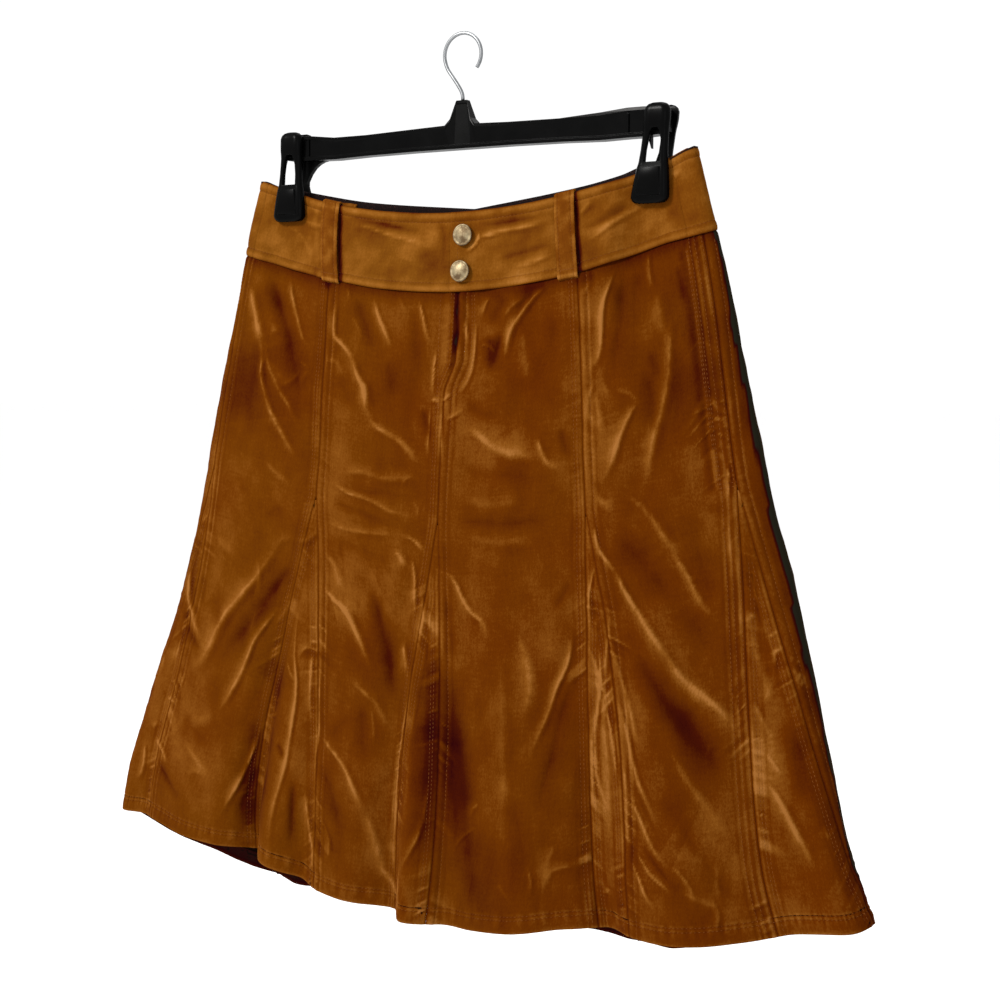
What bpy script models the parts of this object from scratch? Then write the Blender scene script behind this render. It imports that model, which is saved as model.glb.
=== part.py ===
# Gored flared skirt in heavy pile cloth, clipped flat on a plastic hanger with a wire hook.
# Metres, +Z up, the front faces -Y. The origin is the inside top of the hook.
import bpy
import bmesh
from collections import namedtuple
from math import cos, sin, radians, exp, pi
from mathutils import Vector

MM = 0.001

# cloth
CLOTH_WALL = 1.6            # pile cloth of the skirt and its band
FACING_WALL = 1.0           # dark facing inside the back of the band
SEAM_GAP = 0.3
BAND_SHARE = 0.108          # share of the length taken by the waistband
BAND_RISE = 0.5             # the band stands this much proud of the panels
GODET_TOP = 0.43            # share of the length where every godet begins
MID_SHARE = 0.70            # height at which a seam's middle angles are read
LOOP_RISE = 2.4             # hollow under the middle of a belt loop
FLY_END = 0.262             # share of the length where the fly stops

# hanger
CLIP_LEFT_X = -165.5
CLIP_RIGHT_X = 175.0
CLIP_REACH = 30.0           # the clips flatten the cloth this far to each side
PINCH_HALF = 3.5            # the clips hold each side of the band this far from the middle
BAR_HALF_DEPTH = 5.9
JAW_INNER = 6.2
WIRE_RADIUS = 1.5
HOOK_RADIUS = 17.0          # to the middle of the wire
NECK_TOP = -51.5

# The skirt's plan at each share of its length: half widths to each side, half depths to front and back.
Level = namedtuple("Level", "share left right front back")
LEVELS = [
    Level(0.00, 199.5, 201, 18, 18),
    Level(0.10, 216.5, 218, 20, 20),
    Level(0.20, 230, 232, 24, 24),
    Level(0.30, 244.5, 244.5, 28, 28),
    Level(0.42, 261, 260, 32, 31),
    Level(0.55, 277.5, 280, 37, 35),
    Level(0.70, 305, 301, 43, 39),
    Level(0.85, 340, 320, 47, 42),
    Level(0.93, 355, 332, 49, 43),
    Level(1.00, 363, 347, 50, 44),
]

# Heights of the waist edge and of the hem at each angle; 0 is the middle front, 90 the right end.
Edge = namedtuple("Edge", "angle waist hem")
EDGES = [
    Edge(-180, -133.0, -731),
    Edge(-150, -123.5, -725),
    Edge(-125, -111.5, -709),
    Edge(-105, -106.5, -681),
    Edge(-90, -106.0, -671),
    Edge(-75, -108.5, -669),
    Edge(-60, -115.0, -669),
    Edge(-45, -124.5, -677),
    Edge(-35, -130.8, -681),
    Edge(-27, -135.4, -686),
    Edge(-19, -139.0, -699),
    Edge(-8, -142.3, -706),
    Edge(2, -143.0, -709),
    Edge(12, -141.4, -702),
    Edge(22, -137.8, -693),
    Edge(35, -130.8, -692),
    Edge(47, -123.0, -686),
    Edge(60, -113.0, -676),
    Edge(75, -104.5, -671),
    Edge(90, -101.0, -667),
    Edge(105, -102.0, -673),
    Edge(125, -107.0, -690),
    Edge(150, -120.0, -722),
    Edge(180, -133.0, -731),
]

# Seams round the skirt: angle under the band, where the godet begins, then both sides of the godet.
Seam = namedtuple("Seam", "name band apex before_mid before_hem after_mid after_hem")
SEAMS = [
    Seam("side_left", -79, -71, -84, -95, -64.5, -61.5),
    Seam("front_left", -33, -28.6, -33.3, -33.5, -22.7, -19),
    Seam("front_centre", 0.2, -0.9, -4.9, -6.6, 0.6, -0.6),
    Seam("front_right", 30.9, 28.8, 26.2, 24.3, 31.8, 30),
    Seam("side_right", 74.5, 68.4, 58.8, 55.2, 75, 88),
    Seam("back_right", 147, 150, 145.5, 143, 154, 156),
    Seam("back_centre", 180, 180, 176, 174, 184, 186),
    Seam("back_left", 213, 210, 206, 204, 214.5, 217),
]

# Folds at the hem, out (+) or in (-), each widening downwards from where it begins.
Fold = namedtuple("Fold", "name angle depth wide_before wide_after begins")
FOLDS = [
    Fold("left_end_swell", -77, 5, 8, 8, 0.50),
    Fold("left_end_crease", -64, -4, 5, 4, 0.55),
    Fold("side_left_swell", -47, 4, 8, 8, 0.40),
    Fold("left_godet_tuck", -33, -21, 4.0, 2.4, 0.46),
    Fold("left_godet_ridge", -27, 7, 2.6, 3.0, 0.46),
    Fold("left_godet_dip", -21.8, -8, 2.2, 2.2, 0.60),
    Fold("centre_left_swell", -14, 3, 4, 4, 0.40),
    Fold("centre_tuck", -6.9, -13, 4.0, 1.9, 0.50),
    Fold("centre_ridge", -3.4, 12, 1.9, 3.2, 0.50),
    Fold("centre_dip", 2.0, -5, 2.6, 3.0, 0.50),
    Fold("centre_right_swell", 13, 14, 7, 6, 0.36),
    Fold("right_godet_dip", 25.6, -13, 2.6, 3.2, 0.48),
    Fold("side_right_swell", 38, 14, 7, 9, 0.42),
    Fold("right_end_crease", 57, -4, 5, 5, 0.50),
    Fold("right_end_swell", 74, 6, 8, 9, 0.45),
    Fold("back_right_swell", 128, 12, 10, 8, 0.40),
    Fold("back_right_dip", 149, -13, 4, 4, 0.48),
    Fold("back_middle_right_swell", 165, 12, 6, 6, 0.42),
    Fold("back_centre_dip", 180, -12, 3.5, 3.5, 0.48),
    Fold("back_middle_left_swell", 195, 12, 6, 6, 0.42),
    Fold("back_left_dip", 211, -13, 4, 4, 0.48),
    Fold("back_left_swell", 234, 12, 9, 10, 0.40),
]

# Belt loops: middle angle at the waist edge and under the band.
Loop = namedtuple("Loop", "name top foot half_width")
LOOPS = [
    Loop("belt_loop_front_left", -36.0, -32.5, 9.2),
    Loop("belt_loop_front_right", 30.2, 28.8, 8.4),
    Loop("belt_loop_back_right", 143, 144, 8.8),
    Loop("belt_loop_back_centre", 180, 180, 8.8),
    Loop("belt_loop_back_left", 217, 216, 8.8),
]

# Buttons: angle and share of the length at the middle.
Button = namedtuple("Button", "name angle share")
BUTTONS = [
    Button("button_upper", 3.7, 0.030),
    Button("button_lower", 3.0, 0.080),
]

# A button turned from the foot of its shank to the middle of its dome.
Turn = namedtuple("Turn", "radius height")
BUTTON_PROFILE = [
    Turn(0.0, 0.0),
    Turn(3.0, 0.0),
    Turn(3.0, 1.2),
    Turn(7.4, 1.2),
    Turn(8.5, 1.9),
    Turn(8.5, 2.5),
    Turn(7.6, 3.1),
    Turn(5.4, 3.9),
    Turn(2.8, 4.3),
    Turn(0.0, 4.4),
]
BUTTON_SIDES = 18

# The hanger bar's top and bottom edges from the left end to the right.
Station = namedtuple("Station", "x top bottom")
BAR = [
    Station(-174, -73, -88),
    Station(-169, -71, -90),
    Station(-158, -70.5, -91),
    Station(-144, -71, -91),
    Station(-122, -73.5, -91.5),
    Station(-90, -73.5, -90.5),
    Station(-45, -72, -90),
    Station(-14, -71, -90),
    Station(-9.5, -66, -90),
    Station(-5, NECK_TOP, -90),
    Station(5, NECK_TOP, -90),
    Station(9.5, -66, -90),
    Station(14, -71, -90),
    Station(45, -72, -90),
    Station(90, -72.5, -90.5),
    Station(125, -70.5, -91.5),
    Station(148, -68.5, -91),
    Station(160, -68.5, -91),
    Station(174, -69, -90),
    Station(181, -72, -88),
]

# The hook's neck from the bar up to its round turn.
Bend = namedtuple("Bend", "x z")
NECK = [
    Bend(0.0, NECK_TOP + SEAM_GAP),
    Bend(0.0, -48.0),
    Bend(-1.5, -43.5),
    Bend(-8.5, -33.5),
    Bend(-14.5, -26.0),
]
HOOK_TURN_BEGINS = 192.0    # degrees, counted from +X
HOOK_TURN_ENDS = -40.0
HOOK_STEPS = 16

# A clip jaw from its cap to its foot: half width, half width of the window, distance of the inner face.
JawRow = namedtuple("JawRow", "z half window inner thick")
JAW = [
    JawRow(-67.0, 7.5, 4.0, 0.6, 4.0),
    JawRow(-70.5, 10.5, 4.5, 0.0, 6.5),
    JawRow(-83.0, 10.5, 4.5, 0.0, 6.5),
    JawRow(-87.5, 10.0, 4.5, 0.2, 5.5),
    JawRow(-109.0, 11.5, 5.5, 0.2, 5.0),
    JawRow(-113.0, 12.5, 6.5, 0.0, 5.4),
    JawRow(-137.0, 15.5, 9.5, 0.0, 6.2),
    JawRow(-141.0, 14.0, 9.0, 0.8, 4.6),
]


def smooth(value):
    value = max(0.0, min(1.0, value))
    return value * value * (3.0 - 2.0 * value)


def read(rows, key, column, at):
    """Value of a column where its key column reads at, on a smooth curve through the rows."""
    keys = [getattr(row, key) for row in rows]
    values = [getattr(row, column) for row in rows]
    at = max(keys[0], min(keys[-1], at))
    low = 0
    while low < len(keys) - 2 and keys[low + 1] < at:
        low += 1

    def slope(index):
        before = max(index - 1, 0)
        after = min(index + 1, len(keys) - 1)
        return (values[after] - values[before]) / (keys[after] - keys[before])

    span = keys[low + 1] - keys[low]
    part = (at - keys[low]) / span
    a = 2 * part ** 3 - 3 * part ** 2 + 1
    b = part ** 3 - 2 * part ** 2 + part
    c = -2 * part ** 3 + 3 * part ** 2
    d = part ** 3 - part ** 2
    return a * values[low] + b * span * slope(low) + c * values[low + 1] + d * span * slope(low + 1)


def wrapped(angle):
    return (angle + 180.0) % 360.0 - 180.0


def fold_height(angle, share):
    """How far the hem's folds push the cloth outwards here."""
    total = 0.0
    for fold in FOLDS:
        if share <= fold.begins:
            continue
        away = wrapped(angle - fold.angle)
        wide = fold.wide_after if away > 0 else fold.wide_before
        growth = ((share - fold.begins) / (1.0 - fold.begins)) ** 1.35
        total += fold.depth * growth * exp(-(away / wide) ** 2)
    return total


def fly_height(angle, share):
    """The fly's edge lies in a shallow groove that closes at its foot."""
    if share > FLY_END or abs(angle) > 20:
        return 0.0
    fade = smooth((FLY_END - share) / 0.03) * smooth((share - BAND_SHARE + 0.012) / 0.02)
    return -1.6 * fade * exp(-((angle - fly_angle(share)) / 0.9) ** 2)


def cloth_point(angle, share, rise=0.0):
    """A point of the cloth's middle surface, in millimetres, lifted by rise along the plan's normal."""
    turned = radians(angle)
    across, along = sin(turned), cos(turned)
    half_width = read(LEVELS, "share", "right" if across > 0 else "left", share)
    half_depth = read(LEVELS, "share", "front" if along > 0 else "back", share)
    x = half_width * across
    y = -half_depth * along
    held = exp(-(((x - (CLIP_RIGHT_X if across > 0 else CLIP_LEFT_X)) / CLIP_REACH) ** 4))
    held *= 1.0 - smooth((share - 0.07) / 0.16)
    y += held * ((-PINCH_HALF if along > 0 else PINCH_HALF) - y)
    normal = Vector((across / half_width, -along / half_depth, 0)).normalized()
    lift = rise + fold_height(angle, share) + fly_height(wrapped(angle), share)
    top = read(EDGES, "angle", "waist", wrapped(angle))
    hem = read(EDGES, "angle", "hem", wrapped(angle))
    return Vector((x, y, top + (hem - top) * share)) + normal * lift


def cloth_normal(angle, share, rise=0.0):
    """Outward normal of the cloth, the same for both pieces that meet at a seam."""
    step_angle, step_share = 0.25, 0.004
    round_it = cloth_point(angle + step_angle, share, rise) - cloth_point(angle - step_angle, share, rise)
    down = cloth_point(angle, share + step_share, rise) - cloth_point(angle, share - step_share, rise)
    return down.cross(round_it).normalized()


def angle_for(length, angle, share):
    """The change of angle that moves this many millimetres round the cloth."""
    here = cloth_point(angle - 0.1, share)
    there = cloth_point(angle + 0.1, share)
    flat = there - here
    return length * 0.2 / flat.length


def fly_angle(share):
    """The fly's edge runs beside the middle and swings back to it at its foot."""
    return 0.2 + 2.1 * smooth((FLY_END - 0.012 - share) / 0.05)


def main_line(seam, share):
    part = smooth((share - BAND_SHARE) / (GODET_TOP - BAND_SHARE)) * 0.4
    part += 0.6 * (share - BAND_SHARE) / (GODET_TOP - BAND_SHARE)
    angle = seam.band + (seam.apex - seam.band) * part
    if seam.name == "front_centre":
        angle += fly_angle(share) - 0.2
    return angle


def branch_line(seam, side, share):
    """Angle of the seam at one side of its godet; the main line above it."""
    if share <= GODET_TOP:
        return main_line(seam, share)
    mid = getattr(seam, side + "_mid")
    hem = getattr(seam, side + "_hem")
    part = (share - GODET_TOP) / (1.0 - GODET_TOP)
    at_mid = (MID_SHARE - GODET_TOP) / (1.0 - GODET_TOP)
    curve = (mid - seam.apex - (hem - seam.apex) * at_mid) / (at_mid * (at_mid - 1.0))
    return seam.apex + (hem - seam.apex) * part + curve * part * (part - 1.0)


def solid_grid(name, columns, rows, place):
    """A closed slab over a grid; place gives the outer and the inner point for each grid position."""
    mesh = bpy.data.meshes.new(name)
    bm = bmesh.new()
    bmesh.ops.create_grid(bm, x_segments=columns, y_segments=rows, size=0.5)
    grid = [(vert, round((vert.co.x + 0.5) * columns), round((vert.co.y + 0.5) * rows)) for vert in bm.verts]
    spots = {}
    for vert, column, row in grid:
        spots[(column, row, 0)] = vert
        vert.co.z = 0.0
    made = bmesh.ops.extrude_face_region(bm, geom=list(bm.faces), use_keep_orig=True)
    for item in made["geom"]:
        if isinstance(item, bmesh.types.BMVert):
            column = round((item.co.x + 0.5) * columns)
            row = round((item.co.y + 0.5) * rows)
            spots[(column, row, 1)] = item
    for (column, row, side), vert in spots.items():
        outer, inner = place(column / columns, row / rows)
        vert.co = (inner if side else outer) * MM
    bmesh.ops.recalc_face_normals(bm, faces=bm.faces)
    bm.to_mesh(mesh)
    bm.free()
    return mesh


def even(first, last, count):
    return [first + (last - first) * step / count for step in range(count + 1)]


def cloth_piece(name, columns, shares, first, last, rise=0.0, wall=CLOTH_WALL, lift=None):
    """A piece of cloth between two seam lines (functions of the share of length), foot to top."""
    rows = len(shares) - 1

    def place(across, up):
        share = shares[round(up * rows)]
        begin, end = first(share), last(share)
        begin += angle_for(SEAM_GAP / 2, begin, share)
        end -= angle_for(SEAM_GAP / 2, end, share)
        angle = begin + (end - begin) * across
        height = rise + (lift(up) if lift else 0.0)
        middle = cloth_point(angle, share, height)
        normal = cloth_normal(angle, share, height)
        return middle + normal * wall / 2, middle - normal * wall / 2
    return solid_grid(name, columns, rows, place)


def material(name, colour, roughness, metallic=0.0):
    made = bpy.data.materials.new(name)
    made.use_nodes = True
    shader = made.node_tree.nodes["Principled BSDF"]
    shader.inputs["Base Color"].default_value = (*colour, 1)
    shader.inputs["Roughness"].default_value = roughness
    shader.inputs["Metallic"].default_value = metallic
    made.diffuse_color = (*colour, 1)
    return made


def add(mesh, collection, made_of):
    thing = bpy.data.objects.new(mesh.name, mesh)
    mesh.materials.append(made_of)
    collection.objects.link(thing)
    return thing


def seam_side(index, side):
    """Seam line as a function; indices past the last seam go round again."""
    turns, place = divmod(index, len(SEAMS))
    return lambda share: branch_line(SEAMS[place], side, share) + 360.0 * turns


def build_panels(collection, velvet, godet_velvet):
    names = ["front_side_left", "front_centre_left", "front_centre_right", "front_side_right",
             "back_side_right", "back_centre_right", "back_centre_left", "back_side_left"]
    below = even(1.0, GODET_TOP + 0.018, 8)
    above = even(GODET_TOP, BAND_SHARE + 0.0006, 5)
    for index, name in enumerate(names):
        mesh = cloth_piece("gore_" + name, 9 if "side" in name else 8, below + above,
                           seam_side(index, "after"), seam_side(index + 1, "before"))
        add(mesh, collection, velvet)
    for index, seam in enumerate(SEAMS):
        mesh = cloth_piece("godet_" + seam.name, 6, below,
                           seam_side(index, "before"), seam_side(index, "after"))
        add(mesh, collection, godet_velvet)


def build_band(collection, band_velvet, facing):
    right, left, middle = 66.0, 288.0, 0.2
    foot = BAND_SHARE
    spans = [("waistband_front_left", left - 360.0, middle, 15),
             ("waistband_front_right", middle, right, 14),
             ("waistband_back", right, left, 46)]
    for name, first, last, columns in spans:
        mesh = cloth_piece(name, columns, even(foot, 0.0, 3), lambda share, at=first: at,
                           lambda share, at=last: at, rise=BAND_RISE)
        add(mesh, collection, band_velvet)
    inward = BAND_RISE - CLOTH_WALL / 2 - SEAM_GAP - FACING_WALL / 2
    mesh = cloth_piece("waistband_facing_back", 46, even(foot, 0.0, 3), lambda share: right,
                       lambda share: left, rise=inward, wall=FACING_WALL)
    add(mesh, collection, facing)


def build_loops(collection, band_velvet):
    seat = BAND_RISE + CLOTH_WALL + SEAM_GAP
    for loop in LOOPS:
        top, foot = -0.004, BAND_SHARE + 0.008

        def centre(share, at=loop):
            return at.top + (at.foot - at.top) * share / BAND_SHARE

        def first(share, at=loop, line=centre):
            middle = line(share)
            return middle - angle_for(at.half_width, middle, share)

        def last(share, at=loop, line=centre):
            middle = line(share)
            return middle + angle_for(at.half_width, middle, share)

        def lift(up):
            return LOOP_RISE * sin(pi * max(0.0, min(1.0, (up - 0.06) / 0.88))) ** 0.6

        mesh = cloth_piece(loop.name, 3, even(foot, top, 8), first, last, rise=seat, lift=lift)
        add(mesh, collection, band_velvet)


def build_buttons(collection, metal):
    for button in BUTTONS:
        mesh = bpy.data.meshes.new(button.name)
        bm = bmesh.new()
        ring = [bm.verts.new((turn.radius * MM, 0, turn.height * MM)) for turn in BUTTON_PROFILE]
        edges = [bm.edges.new(pair) for pair in zip(ring, ring[1:])]
        bmesh.ops.spin(bm, geom=edges, cent=(0, 0, 0), axis=(0, 0, 1), angle=2 * pi,
                       steps=BUTTON_SIDES, use_merge=True)
        bmesh.ops.remove_doubles(bm, verts=bm.verts, dist=0.00002)
        normal = cloth_normal(button.angle, button.share)
        base = cloth_point(button.angle, button.share, BAND_RISE + CLOTH_WALL / 2 + SEAM_GAP)
        turn = Vector((0, 0, 1)).rotation_difference(normal).to_matrix().to_4x4()
        bmesh.ops.transform(bm, matrix=turn, verts=bm.verts)
        bmesh.ops.translate(bm, vec=base * MM, verts=bm.verts)
        bmesh.ops.recalc_face_normals(bm, faces=bm.faces)
        bm.to_mesh(mesh)
        bm.free()
        add(mesh, collection, metal)


def build_bar(collection, plastic):
    columns = len(BAR) - 1

    def place(across, up):
        station = BAR[round(across * columns)]
        z = station.bottom + (station.top - station.bottom) * up
        return Vector((station.x, -BAR_HALF_DEPTH, z)), Vector((station.x, BAR_HALF_DEPTH, z))
    bar = add(solid_grid("hanger_bar", columns, 2, place), collection, plastic)
    bevel = bar.modifiers.new("edges", "BEVEL")
    bevel.width = 1.2 * MM
    bevel.segments = 1
    bevel.angle_limit = radians(50)


def build_hook(collection, steel):
    curve = bpy.data.curves.new("hanger_hook", "CURVE")
    curve.dimensions = "3D"
    curve.bevel_depth = WIRE_RADIUS * MM
    curve.bevel_resolution = 2
    curve.use_fill_caps = True
    centre = -HOOK_RADIUS + WIRE_RADIUS
    path = [Vector((bend.x, 0, bend.z)) for bend in NECK]
    for turned in even(radians(HOOK_TURN_BEGINS), radians(HOOK_TURN_ENDS), HOOK_STEPS):
        path.append(Vector((HOOK_RADIUS * cos(turned), 0, centre + HOOK_RADIUS * sin(turned))))
    spline = curve.splines.new("POLY")
    spline.points.add(len(path) - 1)
    for point, spot in zip(spline.points, path):
        point.co = (*(spot * MM), 1)
    hook = bpy.data.objects.new("hanger_hook", curve)
    curve.materials.append(steel)
    collection.objects.link(hook)
    weld = hook.modifiers.new("close_caps", "WELD")
    weld.merge_threshold = 0.00005


def build_clip(name, middle, facing, collection, plastic):
    """One jaw of a clip; facing is -1 for the front jaw and +1 for the one behind."""
    rows = len(JAW) - 1

    def place(across, up):
        row = JAW[rows - round(up * rows)]
        spot = round(across * 3)
        x = middle + (-row.half, -row.window, row.window, row.half)[spot]
        inner = facing * (JAW_INNER + row.inner)
        return Vector((x, inner + facing * row.thick, row.z)), Vector((x, inner, row.z))
    mesh = solid_grid(name, 3, rows, place)
    bm = bmesh.new()
    bm.from_mesh(mesh)
    window_top = JAW[3].z * MM
    window_foot = JAW[4].z * MM
    inside = []
    for face in bm.faces:
        spot = face.calc_center_median()
        if window_foot < spot.z < window_top and abs(spot.x - middle * MM) < 0.002:
            inside.append(face)
    bmesh.ops.delete(bm, geom=inside, context="FACES_ONLY")
    open_edges = [edge for edge in bm.edges if edge.is_boundary]
    bmesh.ops.bridge_loops(bm, edges=open_edges)
    panels = []
    for face in bm.faces:
        spot = face.calc_center_median()
        if JAW[6].z * MM < spot.z < JAW[5].z * MM and abs(spot.x - middle * MM) < 0.002:
            panels.append(face)
    panel = max(panels, key=lambda face: face.calc_center_median().y * facing)
    bmesh.ops.inset_individual(bm, faces=[panel], thickness=0.0016)
    bmesh.ops.translate(bm, vec=(0, facing * 0.0012, 0), verts=panel.verts)
    bmesh.ops.recalc_face_normals(bm, faces=bm.faces)
    bm.to_mesh(mesh)
    bm.free()
    jaw = add(mesh, collection, plastic)
    bevel = jaw.modifiers.new("edges", "BEVEL")
    bevel.width = 0.8 * MM
    bevel.segments = 1
    bevel.angle_limit = radians(40)


def build():
    for thing in list(bpy.data.objects):
        bpy.data.objects.remove(thing, do_unlink=True)
    collection = bpy.data.collections.new("gored_skirt_on_hanger")
    bpy.context.scene.collection.children.link(collection)
    velvet = material("rust_velvet", (0.20, 0.052, 0.004), 0.85)
    godet_velvet = material("rust_velvet_godet", (0.19, 0.050, 0.004), 0.85)
    band_velvet = material("golden_velvet_band", (0.27, 0.085, 0.009), 0.85)
    facing = material("dark_facing", (0.022, 0.008, 0.004), 0.8)
    metal = material("antique_silver", (0.52, 0.47, 0.36), 0.38, 1.0)
    plastic = material("black_plastic", (0.008, 0.008, 0.009), 0.35)
    steel = material("hook_steel", (0.62, 0.62, 0.62), 0.25, 1.0)
    build_panels(collection, velvet, godet_velvet)
    build_band(collection, band_velvet, facing)
    build_loops(collection, band_velvet)
    build_buttons(collection, metal)
    build_bar(collection, plastic)
    build_hook(collection, steel)
    for side, middle in (("left", CLIP_LEFT_X), ("right", CLIP_RIGHT_X)):
        build_clip("clip_" + side + "_front", middle, -1, collection, plastic)
        build_clip("clip_" + side + "_back", middle, 1, collection, plastic)


build()
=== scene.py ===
# Velveteen skirt of eight gores and eight godets, clipped to a plastic hanger.
# Angles run round the skirt in degrees (0 middle front, 90 right end, 180 back) and
# shares run down it (0 waist edge, 1 hem). Lengths of cloth are in millimetres until placed.
import bpy
import bmesh
import numpy as np
from collections import namedtuple
from math import cos, sin, pi, radians
from mathutils import Matrix, Vector


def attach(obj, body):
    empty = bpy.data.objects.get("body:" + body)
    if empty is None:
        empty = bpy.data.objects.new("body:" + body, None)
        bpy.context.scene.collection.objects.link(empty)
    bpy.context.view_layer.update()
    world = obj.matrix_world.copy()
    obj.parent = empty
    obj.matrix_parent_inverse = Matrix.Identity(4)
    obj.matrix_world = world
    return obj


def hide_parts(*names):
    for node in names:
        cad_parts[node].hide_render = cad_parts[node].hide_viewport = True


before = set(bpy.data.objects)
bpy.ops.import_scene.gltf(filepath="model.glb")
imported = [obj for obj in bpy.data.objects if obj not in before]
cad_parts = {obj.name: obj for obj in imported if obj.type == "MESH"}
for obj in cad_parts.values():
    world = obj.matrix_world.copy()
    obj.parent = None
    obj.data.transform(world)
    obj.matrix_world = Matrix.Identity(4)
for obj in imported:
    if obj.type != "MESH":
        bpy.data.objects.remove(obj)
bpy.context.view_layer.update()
mm = 0.001


def corners(box):
    return [[float(value) for value in corner] for corner in box]


# The skirt's plan at several heights: half widths to the left and right, half depths in front and behind.
Level = namedtuple("Level", "share left right front back")
levels = [Level(*row) for row in (
    (0.00, 199.5, 201, 18, 18),
    (0.10, 216.5, 218, 20, 20),
    (0.20, 230, 232, 24, 24),
    (0.30, 244.5, 244.5, 28, 28),
    (0.42, 261, 260, 32, 31),
    (0.55, 277.5, 280, 37, 35),
    (0.70, 305, 301, 43, 39),
    (0.85, 340, 320, 47, 42),
    (0.93, 355, 332, 49, 43),
    (1.00, 363, 347, 50, 44),
)]

Edge = namedtuple("Edge", "angle waist hem")
edges = [Edge(*row) for row in (
    (-180, -133.0, -731), (-150, -123.5, -725), (-125, -111.5, -709),
    (-105, -106.5, -681), (-90, -106.0, -671), (-75, -108.5, -669),
    (-60, -115.0, -669), (-45, -124.5, -677), (-35, -130.8, -681),
    (-27, -135.4, -686), (-19, -139.0, -699), (-8, -142.3, -706),
    (2, -143.0, -709), (12, -141.4, -702), (22, -137.8, -693),
    (35, -130.8, -692), (47, -123.0, -686), (60, -113.0, -676),
    (75, -104.5, -671), (90, -101.0, -667), (105, -102.0, -673),
    (125, -107.0, -690), (150, -120.0, -722), (180, -133.0, -731),
)]

# Seams: angle under the band, at the godet's point, then both sides of the godet half way and at the hem.
Seam = namedtuple("Seam", "name band apex beforeMid beforeHem afterMid afterHem")
seams = [Seam(*row) for row in (
    ("side_left", -79, -71, -84, -95, -64.5, -61.5),
    ("front_left", -33, -28.6, -33.3, -33.5, -22.7, -19),
    ("front_centre", 0.2, -0.9, -4.9, -6.6, 0.6, -0.6),
    ("front_right", 30.9, 28.8, 26.2, 24.3, 31.8, 30),
    ("side_right", 74.5, 68.4, 58.8, 55.2, 75, 88),
    ("back_right", 147, 150, 145.5, 143, 154, 156),
    ("back_centre", 180, 180, 176, 174, 184, 186),
    ("back_left", 213, 210, 206, 204, 214.5, 217),
)]

Fold = namedtuple("Fold", "name angle depth wideBefore wideAfter begins")
folds = [Fold(*row) for row in (
    ("left_end_swell", -77, 5, 8, 8, 0.50),
    ("left_end_crease", -64, -4, 5, 4, 0.55),
    ("side_left_swell", -47, 4, 8, 8, 0.40),
    ("left_godet_tuck", -33, -21, 4.0, 2.4, 0.46),
    ("left_godet_ridge", -27, 7, 2.6, 3.0, 0.46),
    ("left_godet_dip", -21.8, -8, 2.2, 2.2, 0.60),
    ("centre_left_swell", -14, 3, 4, 4, 0.40),
    ("centre_tuck", -6.9, -13, 4.0, 1.9, 0.50),
    ("centre_ridge", -3.4, 12, 1.9, 3.2, 0.50),
    ("centre_dip", 2.0, -5, 2.6, 3.0, 0.50),
    ("centre_right_swell", 13, 14, 7, 6, 0.36),
    ("right_godet_dip", 25.6, -13, 2.6, 3.2, 0.48),
    ("side_right_swell", 38, 14, 7, 9, 0.42),
    ("right_end_crease", 57, -4, 5, 5, 0.50),
    ("right_end_swell", 74, 6, 8, 9, 0.45),
    ("back_right_swell", 128, 12, 10, 8, 0.40),
    ("back_right_dip", 149, -13, 4, 4, 0.48),
    ("back_middle_right_swell", 165, 12, 6, 6, 0.42),
    ("back_centre_dip", 180, -12, 3.5, 3.5, 0.48),
    ("back_middle_left_swell", 195, 12, 6, 6, 0.42),
    ("back_left_dip", 211, -13, 4, 4, 0.48),
    ("back_left_swell", 234, 12, 9, 10, 0.40),
)]

cut = {
    "length": 565.0,           # waist edge to hem
    "bandLength": 61.0,
    "bandShare": 0.108,        # share of the length taken by the waistband
    "godetTop": 0.43,
    "midShare": 0.70,
    "flareGrowth": 1.35,       # how the folds deepen towards the hem
    "seamGap": -0.2,           # neighbours overlap a little at each seam
    "clipLeft": -165.5,
    "clipRight": 175.0,
    "clipReach": 30.0,
    "pinchHalf": 3.5,          # half depth of the skirt where a clip holds it
    "pinchFrom": 0.07,         # shares over which the pinch dies away
    "pinchFade": 0.16,
    "cloth": 1.2,              # thickness of one layer of the velveteen
    "dipsFrom": 0.7,           # dips deeper than this push the reverse back, by no more than the next
    "dipsMost": 1.6,
    "face": 0.8,               # how far its face lies outside the frame's middle surface
}
fly = {
    "seam": 0.2,               # angle of the middle seam under the band
    "lap": 2.1,                # degrees by which the lip laps over it
    "end": 0.262,              # share at which the slit ends
    "blend": 0.05,
    "lipRise": 1.5,
    "sink": 1.1,
    "gapEnd": 0.222,           # share down to which the slit gapes, with painted shade in it
    "gapDark": 2.3,
}


# A soft step from 0 to 1.
def smooth(value):
    value = np.clip(value, 0.0, 1.0)
    return value * value * (3.0 - 2.0 * value)


# A bell curve, 1 at its middle.
def bump(value, middle, wide):
    return np.exp(-((value - middle) / wide) ** 2)


def ramp(value):
    return min(1.0, max(0.0, value))


def tableColumns(rows):
    kept = np.array([[value for value in row if not isinstance(value, str)] for row in rows], float)
    keys, values = kept[:, 0], kept[:, 1:]
    before = np.maximum(np.arange(len(keys)) - 1, 0)
    after = np.minimum(np.arange(len(keys)) + 1, len(keys) - 1)
    slopes = (values[after] - values[before]) / (keys[after] - keys[before])[:, None]
    return keys, values, slopes


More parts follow.
